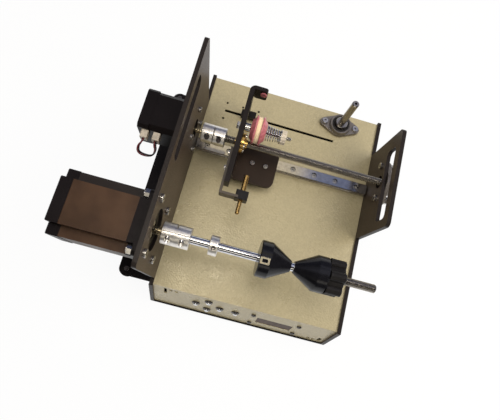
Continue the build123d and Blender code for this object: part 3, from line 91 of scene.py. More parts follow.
# ---- material building blocks -------------------------------------------------------
def new_material(name, colour, rough, metallic=0.0, **values):
    made = bpy.data.materials.new(name)
    made.use_nodes = True
    shader = made.node_tree.nodes["Principled BSDF"]
    shader.inputs["Base Color"].default_value = (*colour, 1)
    shader.inputs["Roughness"].default_value = rough
    shader.inputs["Metallic"].default_value = metallic
    for socket, value in values.items():
        shader.inputs[socket.replace("_", " ")].default_value = value
    return made


def node_of(made, kind, **inputs):
    node = made.node_tree.nodes.new(kind)
    for socket, value in inputs.items():
        node.inputs[socket.replace("_", " ")].default_value = value
    return node


def link(made, start, end):
    made.node_tree.links.new(start, end)


def shader_of(made):
    return made.node_tree.nodes["Principled BSDF"]


def grain(made, per_mm, stretch=(1, 1, 1), detail=4.0):
    """Noise in the object's own space: per_mm is how many grains a millimetre holds."""
    place = node_of(made, "ShaderNodeTexCoord")
    scale = node_of(made, "ShaderNodeMapping", Scale=stretch)
    spots = node_of(made, "ShaderNodeTexNoise", Scale=per_mm / MM, Detail=detail)
    link(made, place.outputs["Object"], scale.inputs["Vector"])
    link(made, scale.outputs["Vector"], spots.inputs["Vector"])
    return spots.outputs["Fac"]


def cells(made, per_mm):
    """Distance to the nearest of many scattered points, for rounded bumps."""
    place = node_of(made, "ShaderNodeTexCoord")
    spots = node_of(made, "ShaderNodeTexVoronoi", Scale=per_mm / MM)
    spots.feature = "SMOOTH_F1"
    link(made, place.outputs["Object"], spots.inputs["Vector"])
    return spots.outputs["Distance"]


def colour_by(made, value, low, high, start=0.35, stop=0.65):
    """Colour from low to high as the value goes from start to stop."""
    ramp = node_of(made, "ShaderNodeValToRGB")
    ramp.color_ramp.elements[0].position = start
    ramp.color_ramp.elements[0].color = (*low, 1)
    ramp.color_ramp.elements[1].position = stop
    ramp.color_ramp.elements[1].color = (*high, 1)
    link(made, value, ramp.inputs["Fac"])
    link(made, ramp.outputs["Color"], shader_of(made).inputs["Base Color"])


def rough_by(made, value, low, high):
    """Roughness from low to high over the middle of a noise's range."""
    spread = node_of(made, "ShaderNodeMapRange", From_Min=0.3, From_Max=0.7, To_Min=low,
                     To_Max=high)
    link(made, value, spread.inputs["Value"])
    link(made, spread.outputs["Result"], shader_of(made).inputs["Roughness"])


def bump_by(made, value, depth_mm, strength=1.0):
    bump = node_of(made, "ShaderNodeBump", Distance=depth_mm * MM, Strength=strength)
    link(made, value, bump.inputs["Height"])
    link(made, bump.outputs["Normal"], shader_of(made).inputs["Normal"])


def shades(colour, low, high):
    """A darker and a lighter version of a colour."""
    return [tuple(min(1.0, c * by) for c in colour) for by in (low, high)]


# ---- materials ----------------------------------------------------------------------
HAMMER = (0.41, 0.355, 0.215)
BROWN = (0.052, 0.027, 0.014)
# Near black of painted shade, on the plates' sides and the motor's notched rear corner.
PAINTED_SHADE = (0.016, 0.012, 0.010)
NOTCH_BACK = -55.6 * MM      # behind this and above NOTCH_FOOT lies the notched rear corner of the large motor's stack, darkened with painted shade
NOTCH_FOOT = 159.0 * MM      # corner of the large motor's stack, which is nearly black
FACE_LEAN = 0.7              # a face whose normal has less X than this gets painted shade
# How noise is stretched for marks that run round or along an axis.
ROUND_X = (1, 0.03, 0.03)
ROUND_Y = (0.03, 1, 0.03)
ALONG_X = (0.03, 1, 1)
LAYERS_X = (1, 0.01, 0.01)


def hammertone():
    """Beige paint that dries in small rounded dimples."""
    made = new_material("hammertone", HAMMER, rough=0.30, metallic=0.06,
                        Specular_IOR_Level=0.45)
    colour_by(made, grain(made, per_mm=0.5, detail=3), *shades(HAMMER, 0.94, 1.06))
    rough_by(made, grain(made, per_mm=0.05), low=0.25, high=0.35)
    bump_by(made, cells(made, per_mm=0.55), depth_mm=0.32, strength=0.8)
    return made


def mixed(made, share, first, second):
    """Leads the first colour to the shader, and the second where the share is 1."""
    mix = node_of(made, "ShaderNodeMix")
    mix.data_type = "RGBA"
    link(made, share, mix.inputs["Factor"])
    link(made, first, mix.inputs["A"])
    mix.inputs["B"].default_value = (*second, 1)
    link(made, mix.outputs["Result"], shader_of(made).inputs["Base Color"])


def old_colour(made):
    """The colour that feeds the shader so far, taken off it for a mix."""
    tie = shader_of(made).inputs["Base Color"].links[0]
    start = tie.from_socket
    made.node_tree.links.remove(tie)
    return start


def maths(made, operation, first, second=None):
    """A maths node fed by sockets."""
    node = node_of(made, "ShaderNodeMath")
    node.operation = operation
    link(made, first, node.inputs[0])
    if second is not None:
        link(made, second, node.inputs[1])
    return node.outputs[0]


def compare(made, value, operation, limit):
    """1 where the value is past the limit."""
    test = node_of(made, "ShaderNodeMath")
    test.operation = operation
    test.inputs[1].default_value = limit
    link(made, value, test.inputs[0])
    return test.outputs[0]


def parts_of(made, output):
    """X, Y and Z of a texture coordinate."""
    place = node_of(made, "ShaderNodeTexCoord")
    split = node_of(made, "ShaderNodeSeparateXYZ")
    link(made, place.outputs[output], split.inputs[0])
    return split.outputs


def plate_paint(name, colour):
    """Brown where faces look along X, a painted reflection, and painted shade on the rest.
    """
    made = satin(name, colour, rough=0.42, specular=0.2)
    lean = maths(made, "ABSOLUTE", parts_of(made, "Normal")["X"])
    # faces that don't look along X get painted shade instead of the brown painted
    # reflection
    shaded_faces = compare(made, lean, "LESS_THAN", FACE_LEAN)
    mixed(made, shaded_faces, old_colour(made), PAINTED_SHADE)
    return made


def satin(name, colour, rough=0.42, specular=0.3):
    """Smooth baked paint: its colour drifts a little and its surface is barely grained."""
    made = new_material(name, colour, rough, Specular_IOR_Level=specular)
    colour_by(made, grain(made, per_mm=0.03, detail=2), *shades(colour, 0.86, 1.16))
    rough_by(made, grain(made, per_mm=0.9), rough * 0.85, rough * 1.15)
    bump_by(made, grain(made, per_mm=6.0), depth_mm=0.010)
    return made


def moulded(name, colour, rough, depth_mm=0.02, **values):
    """Plastic, rubber or a casting, with the fine grain of its mould."""
    made = new_material(name, colour, rough, **values)
    colour_by(made, grain(made, per_mm=0.2), *shades(colour, 0.85, 1.15))
    rough_by(made, grain(made, per_mm=1.2), rough * 0.85, rough * 1.2)
    bump_by(made, grain(made, per_mm=3.5), depth_mm)
    return made


def turned(name, colour, rough, along=ROUND_X, lines=4.0, depth_mm=0.0008):
    """Metal with fine tool marks, as many a millimetre as lines says."""
    made = new_material(name, colour, rough, metallic=1.0)
    colour_by(made, grain(made, per_mm=0.25), *shades(colour, 0.86, 1.06))
    rough_by(made, grain(made, per_mm=0.12), rough * 0.9, rough * 1.12)
    bump_by(made, grain(made, lines, along, detail=2), depth_mm)
    return made


def laminated():
    """Lacquered edges of thin sheets, stacked along the motor, with painted shade in
    the notched rear corner.
    """
    made = new_material("lamination", BROWN, rough=0.42, Specular_IOR_Level=0.16)
    colour_by(made, grain(made, per_mm=0.05, detail=2), *shades(BROWN, 0.8, 1.2))
    rough_by(made, grain(made, per_mm=0.06), low=0.36, high=0.48)
    bump_by(made, grain(made, per_mm=2.0, stretch=LAYERS_X, detail=1), depth_mm=0.006)
    # the notched rear corner of the stack is darkened with painted shade
    spot = parts_of(made, "Object")
    back = compare(made, spot["Y"], "GREATER_THAN", NOTCH_BACK)
    notch = compare(made, spot["Z"], "GREATER_THAN", NOTCH_FOOT)
    mixed(made, maths(made, "MULTIPLY", back, notch), old_colour(made), PAINTED_SHADE)
    return made


def felt_cloth():
    made = new_material("felt", (0.88, 0.68, 0.42), rough=0.95, Sheen_Weight=0.3)
    colour_by(made, grain(made, per_mm=1.8, detail=8), low=(0.76, 0.56, 0.33),
              high=(0.96, 0.78, 0.52))
    bump_by(made, grain(made, per_mm=4.0, detail=8), depth_mm=0.12)
    return made


def ceramic():
    made = new_material("pink_ceramic", (0.46, 0.13, 0.15), rough=0.30, Coat_Weight=0.3)
    colour_by(made, grain(made, per_mm=0.35), low=(0.39, 0.10, 0.12),
              high=(0.53, 0.17, 0.19))
    bump_by(made, grain(made, per_mm=1.2), depth_mm=0.01)
    return made


def circuit_board():
    made = new_material("board_green", (0.03, 0.14, 0.06), rough=0.35)
    colour_by(made, cells(made, per_mm=0.35), low=(0.05, 0.22, 0.09),
              high=(0.02, 0.10, 0.045), start=0.2, stop=0.7)
    bump_by(made, cells(made, per_mm=0.35), depth_mm=0.03)
    return made


def threaded_steel():
    """Dull steel of the lead screw, the spindle's threaded end and the spool's rod."""
    made = new_material("threaded_steel", (0.34, 0.32, 0.29), rough=0.24, metallic=1.0)
    colour_by(made, grain(made, per_mm=0.06), low=(0.31, 0.29, 0.26),
              high=(0.38, 0.35, 0.31))
    rough_by(made, grain(made, per_mm=0.04), low=0.22, high=0.27)
    bump_by(made, grain(made, per_mm=5.0), depth_mm=0.004)
    return made


MATERIALS = {
    "hammertone": hammertone(),
    "black_plate": plate_paint("black_plate", (0.060, 0.042, 0.030)),
    "black_plastic": moulded("black_plastic", (0.010, 0.009, 0.009), rough=0.40,
                             Specular_IOR_Level=0.2),
    "gloss_black": moulded("gloss_black", (0.006, 0.006, 0.008), rough=0.20,
                           depth_mm=0.003, Specular_IOR_Level=0.28),
    "rubber": moulded("rubber", (0.018, 0.016, 0.015), rough=0.7, depth_mm=0.05,
                      Specular_IOR_Level=0.3),
    "bright_steel": turned("bright_steel", (0.68, 0.69, 0.72), rough=0.12,
                           depth_mm=0.0005),
    "rail_steel": turned("rail_steel", (0.50, 0.48, 0.48), rough=0.14, along=ALONG_X,
                         lines=3.0, depth_mm=0.0004),
    "steel": turned("steel", (0.50, 0.48, 0.45), rough=0.26),
    "dark_steel": turned("dark_steel", (0.09, 0.08, 0.075), rough=0.36),
    "aluminium": turned("aluminium", (0.86, 0.83, 0.78), rough=0.38),
    "brass": turned("brass", (0.58, 0.37, 0.12), rough=0.26, along=ROUND_Y),
    "board_green": circuit_board(),
    "display": moulded("display", (0.075, 0.045, 0.034), rough=0.34, depth_mm=0.003,
                       Specular_IOR_Level=0.08),
    "white_plastic": moulded("white_plastic", (0.56, 0.49, 0.39), rough=0.45),
    "pink_ceramic": ceramic(),
    "felt": felt_cloth(),
    "wire_red": moulded("wire_red", (0.11, 0.008, 0.012), rough=0.38),
    "wire_black": moulded("wire_black", (0.015, 0.010, 0.012), rough=0.38),
    "lamination": laminated(),
    "threaded_steel": threaded_steel(),
    "motor_black": satin("motor_black", (0.007, 0.005, 0.005), rough=0.40, specular=0.10),
    "bar_black": satin("bar_black", (0.012, 0.009, 0.008), rough=0.38, specular=0.18),
    "arm_grey": satin("arm_grey", (0.070, 0.058, 0.046), rough=0.40),
    "carriage_black": satin("carriage_black", (0.026, 0.017, 0.012), specular=0.15),
    "cast_zinc": moulded("cast_zinc", (0.24, 0.215, 0.19), rough=0.42, Metallic=0.75),
    "gilt_steel": turned("gilt_steel", (0.66, 0.56, 0.36), rough=0.24),
    "pale_gilt": turned("pale_gilt", (0.80, 0.72, 0.52), rough=0.46),
}
# Nodes that look other than the material slot that they share in the record.
OWN_MATERIAL = {
    "motor1_caps": "motor_black",
    "motor2_caps": "motor_black",
    "motor2_stack": "motor_black",
    "base_plate": "motor_black",
    "guide_bar": "bar_black",
    "limit_flag": "bar_black",
    "guide_arm": "arm_grey",
    "carriage_plate": "carriage_black",
    "guide_rail": "rail_steel",
    "button_bezels": "dark_steel",
    "motor1_shaft": "gilt_steel",
    "motor2_shaft": "gilt_steel",
    "spool_rod": "threaded_steel",
    "flange_bearings": "cast_zinc",
    "motor_bolts": "steel",
    "wire_catch": "pale_gilt",
}


def dress_nodes():
    slots = {part["node"]: part["material_slot"] for part in frame["record"]["subparts"]}
    for name, node in frame["nodes"].items():
        finish = MATERIALS[OWN_MATERIAL.get(name, slots[name])]
        node.data.materials.clear()
        node.data.materials.append(finish)


# ---- pieces -------------------------------------------------------------------------
HARD_EDGE = math.radians(35)
UPRIGHT = 0.9                # an axis with more Z than this counts as upright
ROUND_COUNT = 64             # sides of a turned piece
HEX_COUNT = 6
FLANK_SLOPE = 2.0            # how steeply a thread's flank rises, and how much of its
ROOT_FLAT = 0.5              # turn stays at the root
END_BEVEL = 0.96             # share of the root's radius at which a thread's end starts


def piece(name, points, faces, finish, body, stands_for=(), slot=None):
    data = bpy.data.meshes.new(name)
    data.from_pydata(points, [], faces)
    data.validate()
    data.shade_smooth()
    made = bpy.data.objects.new(name, data)
    data.materials.append(MATERIALS[finish])
    bpy.context.scene.collection.objects.link(made)
    if stands_for:
        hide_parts(*stands_for)
    if body:
        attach(made, body)
    return made


def sharpen(made):
    """Keeps the hard edges of a lathe-turned piece."""
    made.data.set_sharp_from_angle(angle=HARD_EDGE)


def axis_frame(axis):
    """Two directions across an axis, square to it and to each other."""
    side = Z_AXIS if abs(axis.z) < UPRIGHT else Y_AXIS
    first = side.cross(axis).normalized()
    return first, axis.cross(first)


def circle(centre, first, second, radii):
    """Points round a centre, one for each radius."""
    count = len(radii)
    points = []
    for n, radius in enumerate(radii):
        angle = 2 * math.pi * n / count
        out = first * math.cos(angle) + second * math.sin(angle)
        points.append(centre + out * radius)
    return points


def skin(rows, count, closed=False):
    """Faces between rows of points, with a cap at each end or, if closed, a last strip."""
    faces = []
    for row in range(rows - 1):
        for n in range(count):
            a, b = row * count + n, row * count + (n + 1) % count
            faces.append((a, b, b + count, a + count))
    last = (rows - 1) * count
    if closed:
        for n in range(count):
            faces.append((last + n, last + (n + 1) % count, (n + 1) % count, n))
    else:
        faces.append(tuple(reversed(range(count))))
        faces.append(tuple(range(last, last + count)))
    return faces


def turn_about(start, axis, profile, count=ROUND_COUNT, closed=False):
    """Points and faces of a profile of (along, radius) pairs turned about an axis."""
    first, second = axis_frame(axis)
    points = []
    for along, radius in profile:
        points += circle(start + axis * along, first, second, [radius] * count)
    return points, skin(len(profile), count, closed)


def ring_about(start, axis, profile, count=ROUND_COUNT):
    """Like turn_about, but the profile is a closed loop round a hole."""
    return turn_about(start, axis, profile, count, closed=True)


def thread(start, axis, length, crest, root, pitch, starts=1, count=40, steps=8):
    """A screw thread: the radius follows how far a point is along the helix."""
    first, second = axis_frame(axis)
    rows = math.ceil(length / pitch * steps)
    points = []
    for row in range(rows + 1):
        along = length * row / rows
        bevel = min(along, length - along)
        radii = []
        for n in range(count):
            phase = (along / pitch - starts * n / count) % 1.0
            ramp = min(1.0, max(0.0, FLANK_SLOPE * abs(2 * phase - 1) - ROOT_FLAT))
            radii.append(min(root + (crest - root) * ramp, root * END_BEVEL + bevel))
        points += circle(start + axis * along, first, second, radii)
    return points, skin(rows + 1, count)


def joined(*parts):
    points, faces = [], []
    for more_points, more_faces in parts:
        offset = len(points)
        points += more_points
        faces += [tuple(i + offset for i in face) for face in more_faces]
    return points, faces


def frames_along(path):
    """Each point of a path with two directions across it, which don't twist."""
    heading = (path[1] - path[0]).normalized()
    side = axis_frame(heading)[0]
    for n, spot in enumerate(path):
        ahead = path[min(n + 1, len(path) - 1)] - path[max(n - 1, 0)]
        heading = ahead.normalized()
        side = (side - heading * side.dot(heading)).normalized()
        yield spot, side, heading.cross(side)


def tube_along(path, radius, count=12):
    """A round tube that follows a list of points."""
    points = []
    for spot, side, other in frames_along(path):
        points += circle(spot, side, other, [radius] * count)
    return points, skin(len(path), count)


def centre_of(node):
    low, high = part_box(node)
    return (low + high) / 2


# ---- spindle ------------------------------------------------------------------------
SPINDLE_PITCH = 1.25 * MM
SHAFT_R = 4.0 * MM
THREAD_R = 3.9 * MM
THREAD_ROOT = 3.25 * MM
THREAD_START = 6.0 * MM      # how far the thread reaches into the outer cone


def make_spindle():
    low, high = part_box("spindle_shaft")
    middle = centre_of("spindle_shaft")
    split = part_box("outer_cone")[1].x - THREAD_START
    begin = Vector((low.x, middle.y, middle.z))
    smooth = turn_about(begin, X_AXIS, [(0, SHAFT_R), (split - low.x, SHAFT_R)])
    rod = piece("spindle_rod", *smooth, "bright_steel", "spindle", ["spindle_shaft"])
    sharpen(rod)
    tail = thread(Vector((split, middle.y, middle.z)), X_AXIS, high.x - split, THREAD_R,
                  THREAD_ROOT, SPINDLE_PITCH)
    piece("spindle_thread", *tail, "threaded_steel", "spindle", slot="bright_steel")


# ---- traverse -----------------------------------------------------------------------
SCREW_R = 4.0 * MM
SCREW_ROOT = 3.1 * MM
SCREW_PITCH = 2.0 * MM
SCREW_STARTS = 4
RACE_R = 7.0 * MM
RACE_START = 0.8 * MM
RACE_END = 11.8 * MM
RACE_BEVEL = 0.6 * MM
GRUB_R = 1.5 * MM
GRUB_FOOT = 4.05 * MM        # just off the shaft
GRUB_REACH = 6.75 * MM
GRUB_AT = 10 * MM            # from the plate
KEY_R = 0.8 * MM             # the socket for its key
KEY_DEPTH = 1.2 * MM
GRUB_COUNT = 24


def screw_axis_at(x):
    """A point on the lead screw's axis."""
    return Vector((x, centre_of("guide_rail").y, centre_of("motor2_shaft").z))


def race_profile():
    """Inner race of an insert bearing with its collar, round its shaft."""
    return [(RACE_START, SHAFT_R), (RACE_START, RACE_R), (RACE_END - RACE_BEVEL, RACE_R),
            (RACE_END, RACE_R - RACE_BEVEL), (RACE_END, SHAFT_R)]


def grub_screw(centre, out):
    profile = [(GRUB_FOOT, GRUB_R), (GRUB_REACH, GRUB_R), (GRUB_REACH, KEY_R),
               (GRUB_REACH - KEY_DEPTH, KEY_R)]
    return turn_about(centre, out, profile, GRUB_COUNT)


def make_lead_screw():
    low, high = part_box("lead_screw")
    screw = thread(screw_axis_at(low.x), X_AXIS, high.x - low.x, SCREW_R, SCREW_ROOT,
                   SCREW_PITCH, SCREW_STARTS)
    face = screw_axis_at(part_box("right_plate")[1].x)
    race = ring_about(face, X_AXIS, race_profile())
    grub = grub_screw(face + X_AXIS * GRUB_AT, Y_AXIS)
    piece("lead_screw_thread", *screw, "threaded_steel", "lead_screw_body", ["lead_screw"],
          "steel")
    sharpen(piece("lead_screw_race", *joined(race, grub), "steel", "lead_screw_body"))


SEAL_IN = 7.35 * MM
SEAL_OUT = 10.2 * MM
SEAL_BOTTOM = 8.0 * MM
SEAL_TOP = 8.35 * MM
SEAL_SIDE = 0.1 * MM         # height and
SEAL_SLOPE = 0.2 * MM        # width of the step at a seal's rim


def make_seals():
    """Black rubber seals on both insert bearings, between race and housing."""
    rod_middle = centre_of("spool_rod")
    cover_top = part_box("cover")[1].z
    places = [
        (screw_axis_at(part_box("right_plate")[1].x), X_AXIS, "seal_screw"),
        (Vector((rod_middle.x, rod_middle.y, cover_top)), Z_AXIS, "seal_rod"),
    ]
    loop = [(SEAL_BOTTOM, SEAL_IN), (SEAL_BOTTOM, SEAL_OUT),
            (SEAL_TOP - SEAL_SIDE, SEAL_OUT), (SEAL_TOP, SEAL_OUT - SEAL_SLOPE),
            (SEAL_TOP, SEAL_IN)]
    for spot, axis, name in places:
        piece(name, *ring_about(spot, axis, loop), "rubber", "base")


# ---- traverse motor's lead ----------------------------------------------------------
# The route of the lead from socket to socket, in the working frame of the part in mm,
# and where that frame's origin is in the row frame.
ORIGIN_MM = Vector((-69.0, -117.85, 59.0))
LEAD_ROUTE = [(-44, 137.55, 52), (-44, 129.55, 52), (-47, 124.55, 51), (-45, 117.55, 49),
              (-31, 117.55, 49), (-29, 124.55, 51), (-32, 129.55, 52), (-32, 137.55, 52)]
ROUTE_STEPS = 24
WIRE_R = 0.8 * MM
TWIST_R = 0.8 * MM
TWIST_PITCH = 45.0 * MM


def spline_points(route):
    """Points along the smooth line that a route of control points gives."""
    data = bpy.data.curves.new("lead_route", "CURVE")
    data.dimensions = "3D"
    data.resolution_u = ROUTE_STEPS
    spline = data.splines.new("NURBS")
    spline.points.add(len(route) - 1)
    for point, spot in zip(spline.points, route):
        point.co = (*spot, 1)
    spline.order_u = 3
    spline.use_endpoint_u = True
    holder = bpy.data.objects.new("lead_route", data)
    bpy.context.scene.collection.objects.link(holder)
    bpy.context.view_layer.update()
    shape = bpy.data.meshes.new_from_object(holder)
    points = [v.co.copy() for v in shape.vertices]
    bpy.data.objects.remove(holder)
    return points


def strand(points, phase):
    """One wire of a pair twisted round a centre line."""
    run, line = 0.0, []
    before = points[0]
    for spot, side, other in frames_along(points):
        run += (spot - before).length
        before = spot
        angle = phase + 2 * math.pi * run / TWIST_PITCH
        line.append(spot + (side * math.cos(angle) + other * math.sin(angle)) * TWIST_R)
    return line


def make_lead():
    points = spline_points([(ORIGIN_MM + Vector(p)) * MM for p in LEAD_ROUTE])
    wires = [("lead_red", "wire_red", 0.0, ["motor2_lead"]),
             ("lead_black", "wire_black", math.pi, [])]
    for name, finish, phase, replaced in wires:
        line = strand(points, phase)
        wire = piece(name, *tube_along(line, WIRE_R), finish, "base", replaced, "wire_red")


# ---- wire tensioner -----------------------------------------------------------------
STUD_R = 2.0 * MM
STUD_ROOT = 1.62 * MM
STUD_PITCH = 0.7 * MM
STUD_COUNT = 24
STUD_STEPS = 6
HEAD_HALF = 3.5 * MM         # half of the head's width across flats
HEAD_BEVEL = 0.4 * MM
HEAD_TOP = 0.93              # share of the head's radius left at its outer face
BAR_T = 5.0 * MM
SPACER_R = 4.6 * MM
SPACER_BEVEL = 0.4 * MM
SPACER_GAP = 0.3 * MM


def make_stud():
    low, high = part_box("tension_stud")
    middle = centre_of("tension_felt")
    disc_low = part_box("tension_discs")[0].x
    bar_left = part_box("guide_bar")[0].x
    hexagon = HEAD_HALF / math.cos(math.pi / HEX_COUNT)
    profile = [(0, hexagon * HEAD_TOP), (HEAD_BEVEL, hexagon), (bar_left - low.x, hexagon)]
    head = turn_about(Vector((low.x, middle.y, middle.z)), X_AXIS, profile, HEX_COUNT)
    shank = thread(Vector((bar_left, middle.y, middle.z)), X_AXIS, high.x - bar_left,
                   STUD_R, STUD_ROOT, STUD_PITCH, 1, STUD_COUNT, STUD_STEPS)
    stud = piece("tension_stud_thread", *joined(head, shank), "steel", "carriage",
                 ["tension_stud"])
    sharpen(stud)
    start = bar_left + BAR_T
    run = disc_low - SPACER_GAP - start
    loop = [(0, STUD_R), (0, SPACER_R - SPACER_BEVEL), (SPACER_BEVEL, SPACER_R),
            (run - SPACER_BEVEL, SPACER_R), (run, SPACER_R - SPACER_BEVEL), (run, STUD_R)]
    spacer = ring_about(Vector((start, middle.y, middle.z)), X_AXIS, loop)
    sharpen(piece("tension_spacer", *spacer, "steel", "carriage"))


FELT_BORE_R = 2.05 * MM
FELT_COUNT = 96
FELT_ROWS = 10               # across its rim
FELT_RINGS = 7               # on each of its faces
FELT_INSET = 0.45 * MM       # how much smaller the rim's edges are than the CAD ring
FELT_BULGE = 0.35 * MM       # and how far its middle comes back out
RIM_SHARE = 0.9              # the fibres stand out beyond this share of the radius
FIBRES = ((900, 0.10 * MM), (2600, 0.05 * MM))   # lumps per metre and their height


def make_felt():
    """A felt ring whose rim bulges and has uneven fibres."""
    low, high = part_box("tension_felt")
    middle = centre_of("tension_felt")
    radius = (high.z - low.z) / 2
    length = high.x - low.x
    web = radius - FELT_BORE_R
    loop = [(0, FELT_BORE_R)]
    for n in range(1, FELT_RINGS):
        loop.append((0, FELT_BORE_R + web * n / FELT_RINGS))
    for n in range(FELT_ROWS + 1):
        share = n / FELT_ROWS
        bulge = math.sin(math.pi * share) * FELT_BULGE
        loop.append((length * share, radius - FELT_INSET + bulge))
    for n in range(FELT_RINGS - 1, 0, -1):
        loop.append((length, FELT_BORE_R + web * n / FELT_RINGS))
    loop.append((length, FELT_BORE_R))
    start = Vector((low.x, middle.y, middle.z))
    points, faces = ring_about(start, X_AXIS, loop, FELT_COUNT)
    for point in points:
        across = Vector((0, point.y - middle.y, point.z - middle.z))
        if across.length > radius * RIM_SHARE:
            fuzz = sum(noise.noise(point * often) * height for often, height in FIBRES)
            point += across.normalized() * fuzz
    felt = piece("felt_washer", points, faces, "felt", "tension_wheel", ["tension_felt"])


SPRING_WIDE_R = 7.7 * MM     # mean radius against the disc
SPRING_NARROW_R = 5.8 * MM   # and against the washer
SPRING_WIRE_R = 0.6 * MM
SPRING_ACTIVE = 4.5          # turns that open and close
SPRING_DEAD = 0.75           # turns that lie closed at each end
DEAD_PITCH = 1.24 * MM
SPRING_STEPS = 40            # points a turn
SPRING_COUNT = 14            # sides of its wire


def make_spring():
    """A tapered compression spring with closed ends, narrowing towards the washer."""
    low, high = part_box("tension_spring")
    middle = centre_of("tension_felt")
    begin, end = low.x + SPRING_WIRE_R, high.x - SPRING_WIRE_R
    pitch = (end - begin - 2 * SPRING_DEAD * DEAD_PITCH) / SPRING_ACTIVE
    turns = SPRING_ACTIVE + 2 * SPRING_DEAD
    steps = round(turns * SPRING_STEPS)
    path = []
    for n in range(steps + 1):
        turn = turns * n / steps
        first = min(turn, SPRING_DEAD) * DEAD_PITCH
        work = min(max(turn - SPRING_DEAD, 0), SPRING_ACTIVE) * pitch
        last = max(turn - SPRING_DEAD - SPRING_ACTIVE, 0) * DEAD_PITCH
        angle = 2 * math.pi * turn
        radius = SPRING_WIDE_R + (SPRING_NARROW_R - SPRING_WIDE_R) * turn / turns
        path.append(Vector((begin + first + work + last,
                            middle.y + radius * math.cos(angle),
                            middle.z + radius * math.sin(angle))))
    shape = tube_along(path, SPRING_WIRE_R, SPRING_COUNT)
    coil = piece("tension_coil", *shape, "bright_steel", None, ["tension_spring"])
    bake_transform(coil)


# ---- surroundings -------------------------------------------------------------------
WHITE = (1.0, 1.0, 1.0)
PAPER = (0.88, 0.88, 0.88)
ROOM = (1.0, 0.97, 0.93)     # the light of the world on the object
ROOM_LEVEL = 0.40
FLOOR_HALF = 4.0
FLOOR_SHARE = 0.93           # how much of the floor's white is its own, not lit


def seen_as_white(tree):
    """1 for the rays that show the white background: camera, glossy and transmission."""
    path = tree.nodes.new("ShaderNodeLightPath")
    seen = path.outputs["Is Camera Ray"]
    for other in ("Is Glossy Ray", "Is Transmission Ray"):
        either = tree.nodes.new("ShaderNodeMath")
        either.operation = "MAXIMUM"
        tree.links.new(seen, either.inputs[0])
        tree.links.new(path.outputs[other], either.inputs[1])
        seen = either.outputs[0]
    return seen


def glowing(tree, kind, colour, strength):
    node = tree.nodes.new(kind)
    node.inputs["Color"].default_value = (*colour, 1)
    node.inputs["Strength"].default_value = strength
    return node


def blended(tree, share, plain, white, out):
    """Shows the plain shader, and the white one by the share."""
    mix = tree.nodes.new("ShaderNodeMixShader")
    tree.links.new(share, mix.inputs[0])
    tree.links.new(plain.outputs[0], mix.inputs[1])
    tree.links.new(white.outputs[0], mix.inputs[2])
    tree.links.new(mix.outputs[0], out.inputs["Surface"])


def sheet(name, points):
    """A square of the stage with an empty material."""
    data = bpy.data.meshes.new(name)
    data.from_pydata(points, [], [(0, 1, 2, 3)])
    made = bpy.data.objects.new(name, data)
    bpy.context.scene.collection.objects.link(made)
    finish = bpy.data.materials.new(name)
    finish.use_nodes = True
    finish.node_tree.nodes.clear()
    data.materials.append(finish)
    return made, finish.node_tree


def make_floor():
    half = FLOOR_HALF
    tree = sheet("floor", [(-half, -half, 0), (half, -half, 0), (half, half, 0),
                           (-half, half, 0)])[1]
    out = tree.nodes.new("ShaderNodeOutputMaterial")
    paper = tree.nodes.new("ShaderNodeBsdfDiffuse")
    paper.inputs["Color"].default_value = (*PAPER, 1)
    share = tree.nodes.new("ShaderNodeMath")
    share.operation = "MULTIPLY"
    share.inputs[1].default_value = FLOOR_SHARE
    tree.links.new(seen_as_white(tree), share.inputs[0])
    glow = glowing(tree, "ShaderNodeEmission", WHITE, 1.0)
    blended(tree, share.outputs[0], paper, glow, out)


def make_world():
    world = bpy.data.worlds.new("world")
    bpy.context.scene.world = world
    world.use_nodes = True
    tree = world.node_tree
    tree.nodes.clear()
    out = tree.nodes.new("ShaderNodeOutputWorld")
    plain = glowing(tree, "ShaderNodeBackground", ROOM, ROOM_LEVEL)
    white = glowing(tree, "ShaderNodeBackground", WHITE, 1.0)
    blended(tree, seen_as_white(tree), plain, white, out)


DIM = (0.040, 0.034, 0.034)
PALE = (0.60, 0.61, 0.76)
NAVY = (0.040, 0.055, 0.120)
LAMP_GLOW = (1.0, 0.93, 0.80)
BLUE_GLOW = (0.22, 0.26, 0.40)
WARM_GLOW = (0.95, 0.84, 0.58)
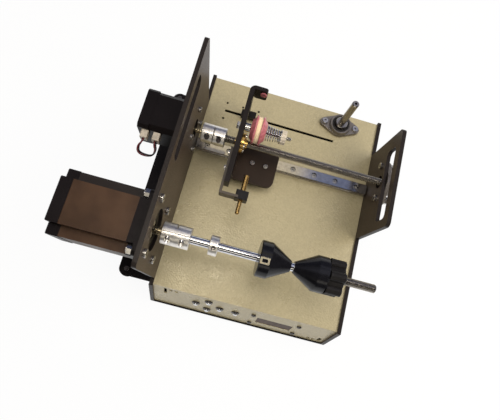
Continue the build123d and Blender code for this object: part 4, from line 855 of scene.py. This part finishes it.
# Name, centre, width across, width along, colour and strength, in metres.
CARDS = [
    ("card_above_front", (0, -1.3, 1.7), (5, 0, 0), (0, 2.4, 0), DIM, 1.0),
    ("card_above_back", (0, 1.2, 1.7), (5, 0, 0), (0, 2.6, 0), PALE, 1.0),
    ("card_key", (-0.06, -0.06, 0.62), (0.2, 0, 0), (0, 0.08, 0), LAMP_GLOW, 12),
    ("card_front", (0, -1.6, 0.9), (4.5, 0, 0), (0, 0, 1.7), DIM, 0.4),
    ("card_back", (0, 1.6, 1.0), (4.5, 0, 0), (0, 0, 1.5), NAVY, 1.0),
    ("card_left", (-1.6, 0, 1.0), (0, 4.5, 0), (0, 0, 1.5), DIM, 1.0),
    ("card_right", (1.6, 0, 1.0), (0, 4.5, 0), (0, 0, 1.5), DIM, 1.0),
    ("card_lamp", (-0.1, -1.2, 1.0), (1.8, 0, 0), (0, 0.2, 0.3), LAMP_GLOW, 1.6),
    ("card_blue", (0.36, 0.46, 1.0), (0.26, 0, 0), (0, 0.3, 0), BLUE_GLOW, 1.0),
    ("card_warm", (-0.04, 0.40, 1.0), (0.50, 0, 0), (0, 0.25, 0), WARM_GLOW, 1.0),
]
LIT_MIDDLE = (0, 0, 0.06)    # where the lamps aim
# Name, place and size in metres, power in watts and colour.
LAMPS = [
    ("key", (-0.10, 0.10, 1.35), (0.6, 0.45), 6.2, (1.0, 0.94, 0.85)),
    ("window", (0.75, 0.45, 1.0), (0.5, 0.5), 4, (0.94, 0.95, 1.0)),
    ("fill", (0.65, -0.10, 0.9), (0.6, 0.6), 5, (1.0, 0.92, 0.80)),
]


def make_card(name, centre, across, along, colour, strength):
    """A backdrop that only reflections show, like a part of the room."""
    centre, across, along = Vector(centre), Vector(across) / 2, Vector(along) / 2
    made, tree = sheet(name, [centre - across - along, centre + across - along,
                              centre + across + along, centre - across + along])
    out = tree.nodes.new("ShaderNodeOutputMaterial")
    glow = glowing(tree, "ShaderNodeEmission", colour, strength)
    tree.links.new(glow.outputs[0], out.inputs["Surface"])
    made.visible_camera = False
    made.visible_diffuse = False
    made.visible_shadow = False
    made.visible_transmission = False
    made.visible_volume_scatter = False


def make_lamp(name, place, size, power, colour):
    """A soft lamp that reflections don't show, because the cards stand for it there."""
    data = bpy.data.lights.new(name, "AREA")
    data.shape = "RECTANGLE"
    data.size, data.size_y = size
    data.energy = power
    data.color = colour
    lamp = bpy.data.objects.new(name, data)
    lamp.location = place
    lamp.rotation_mode = "QUATERNION"
    aim = Vector(LIT_MIDDLE) - Vector(place)
    lamp.rotation_quaternion = aim.to_track_quat("-Z", "Y")
    lamp.visible_glossy = False
    bpy.context.scene.collection.objects.link(lamp)


# ---- build --------------------------------------------------------------------------
make_camera()
make_lead()
dress_nodes()
make_spindle()
make_lead_screw()
make_seals()
make_stud()
make_felt()
make_spring()
make_floor()
make_world()
for card in CARDS:
    make_card(*card)
for lamp_values in LAMPS:
    make_lamp(*lamp_values)
bpy.context.scene.view_settings.view_transform = "Standard"
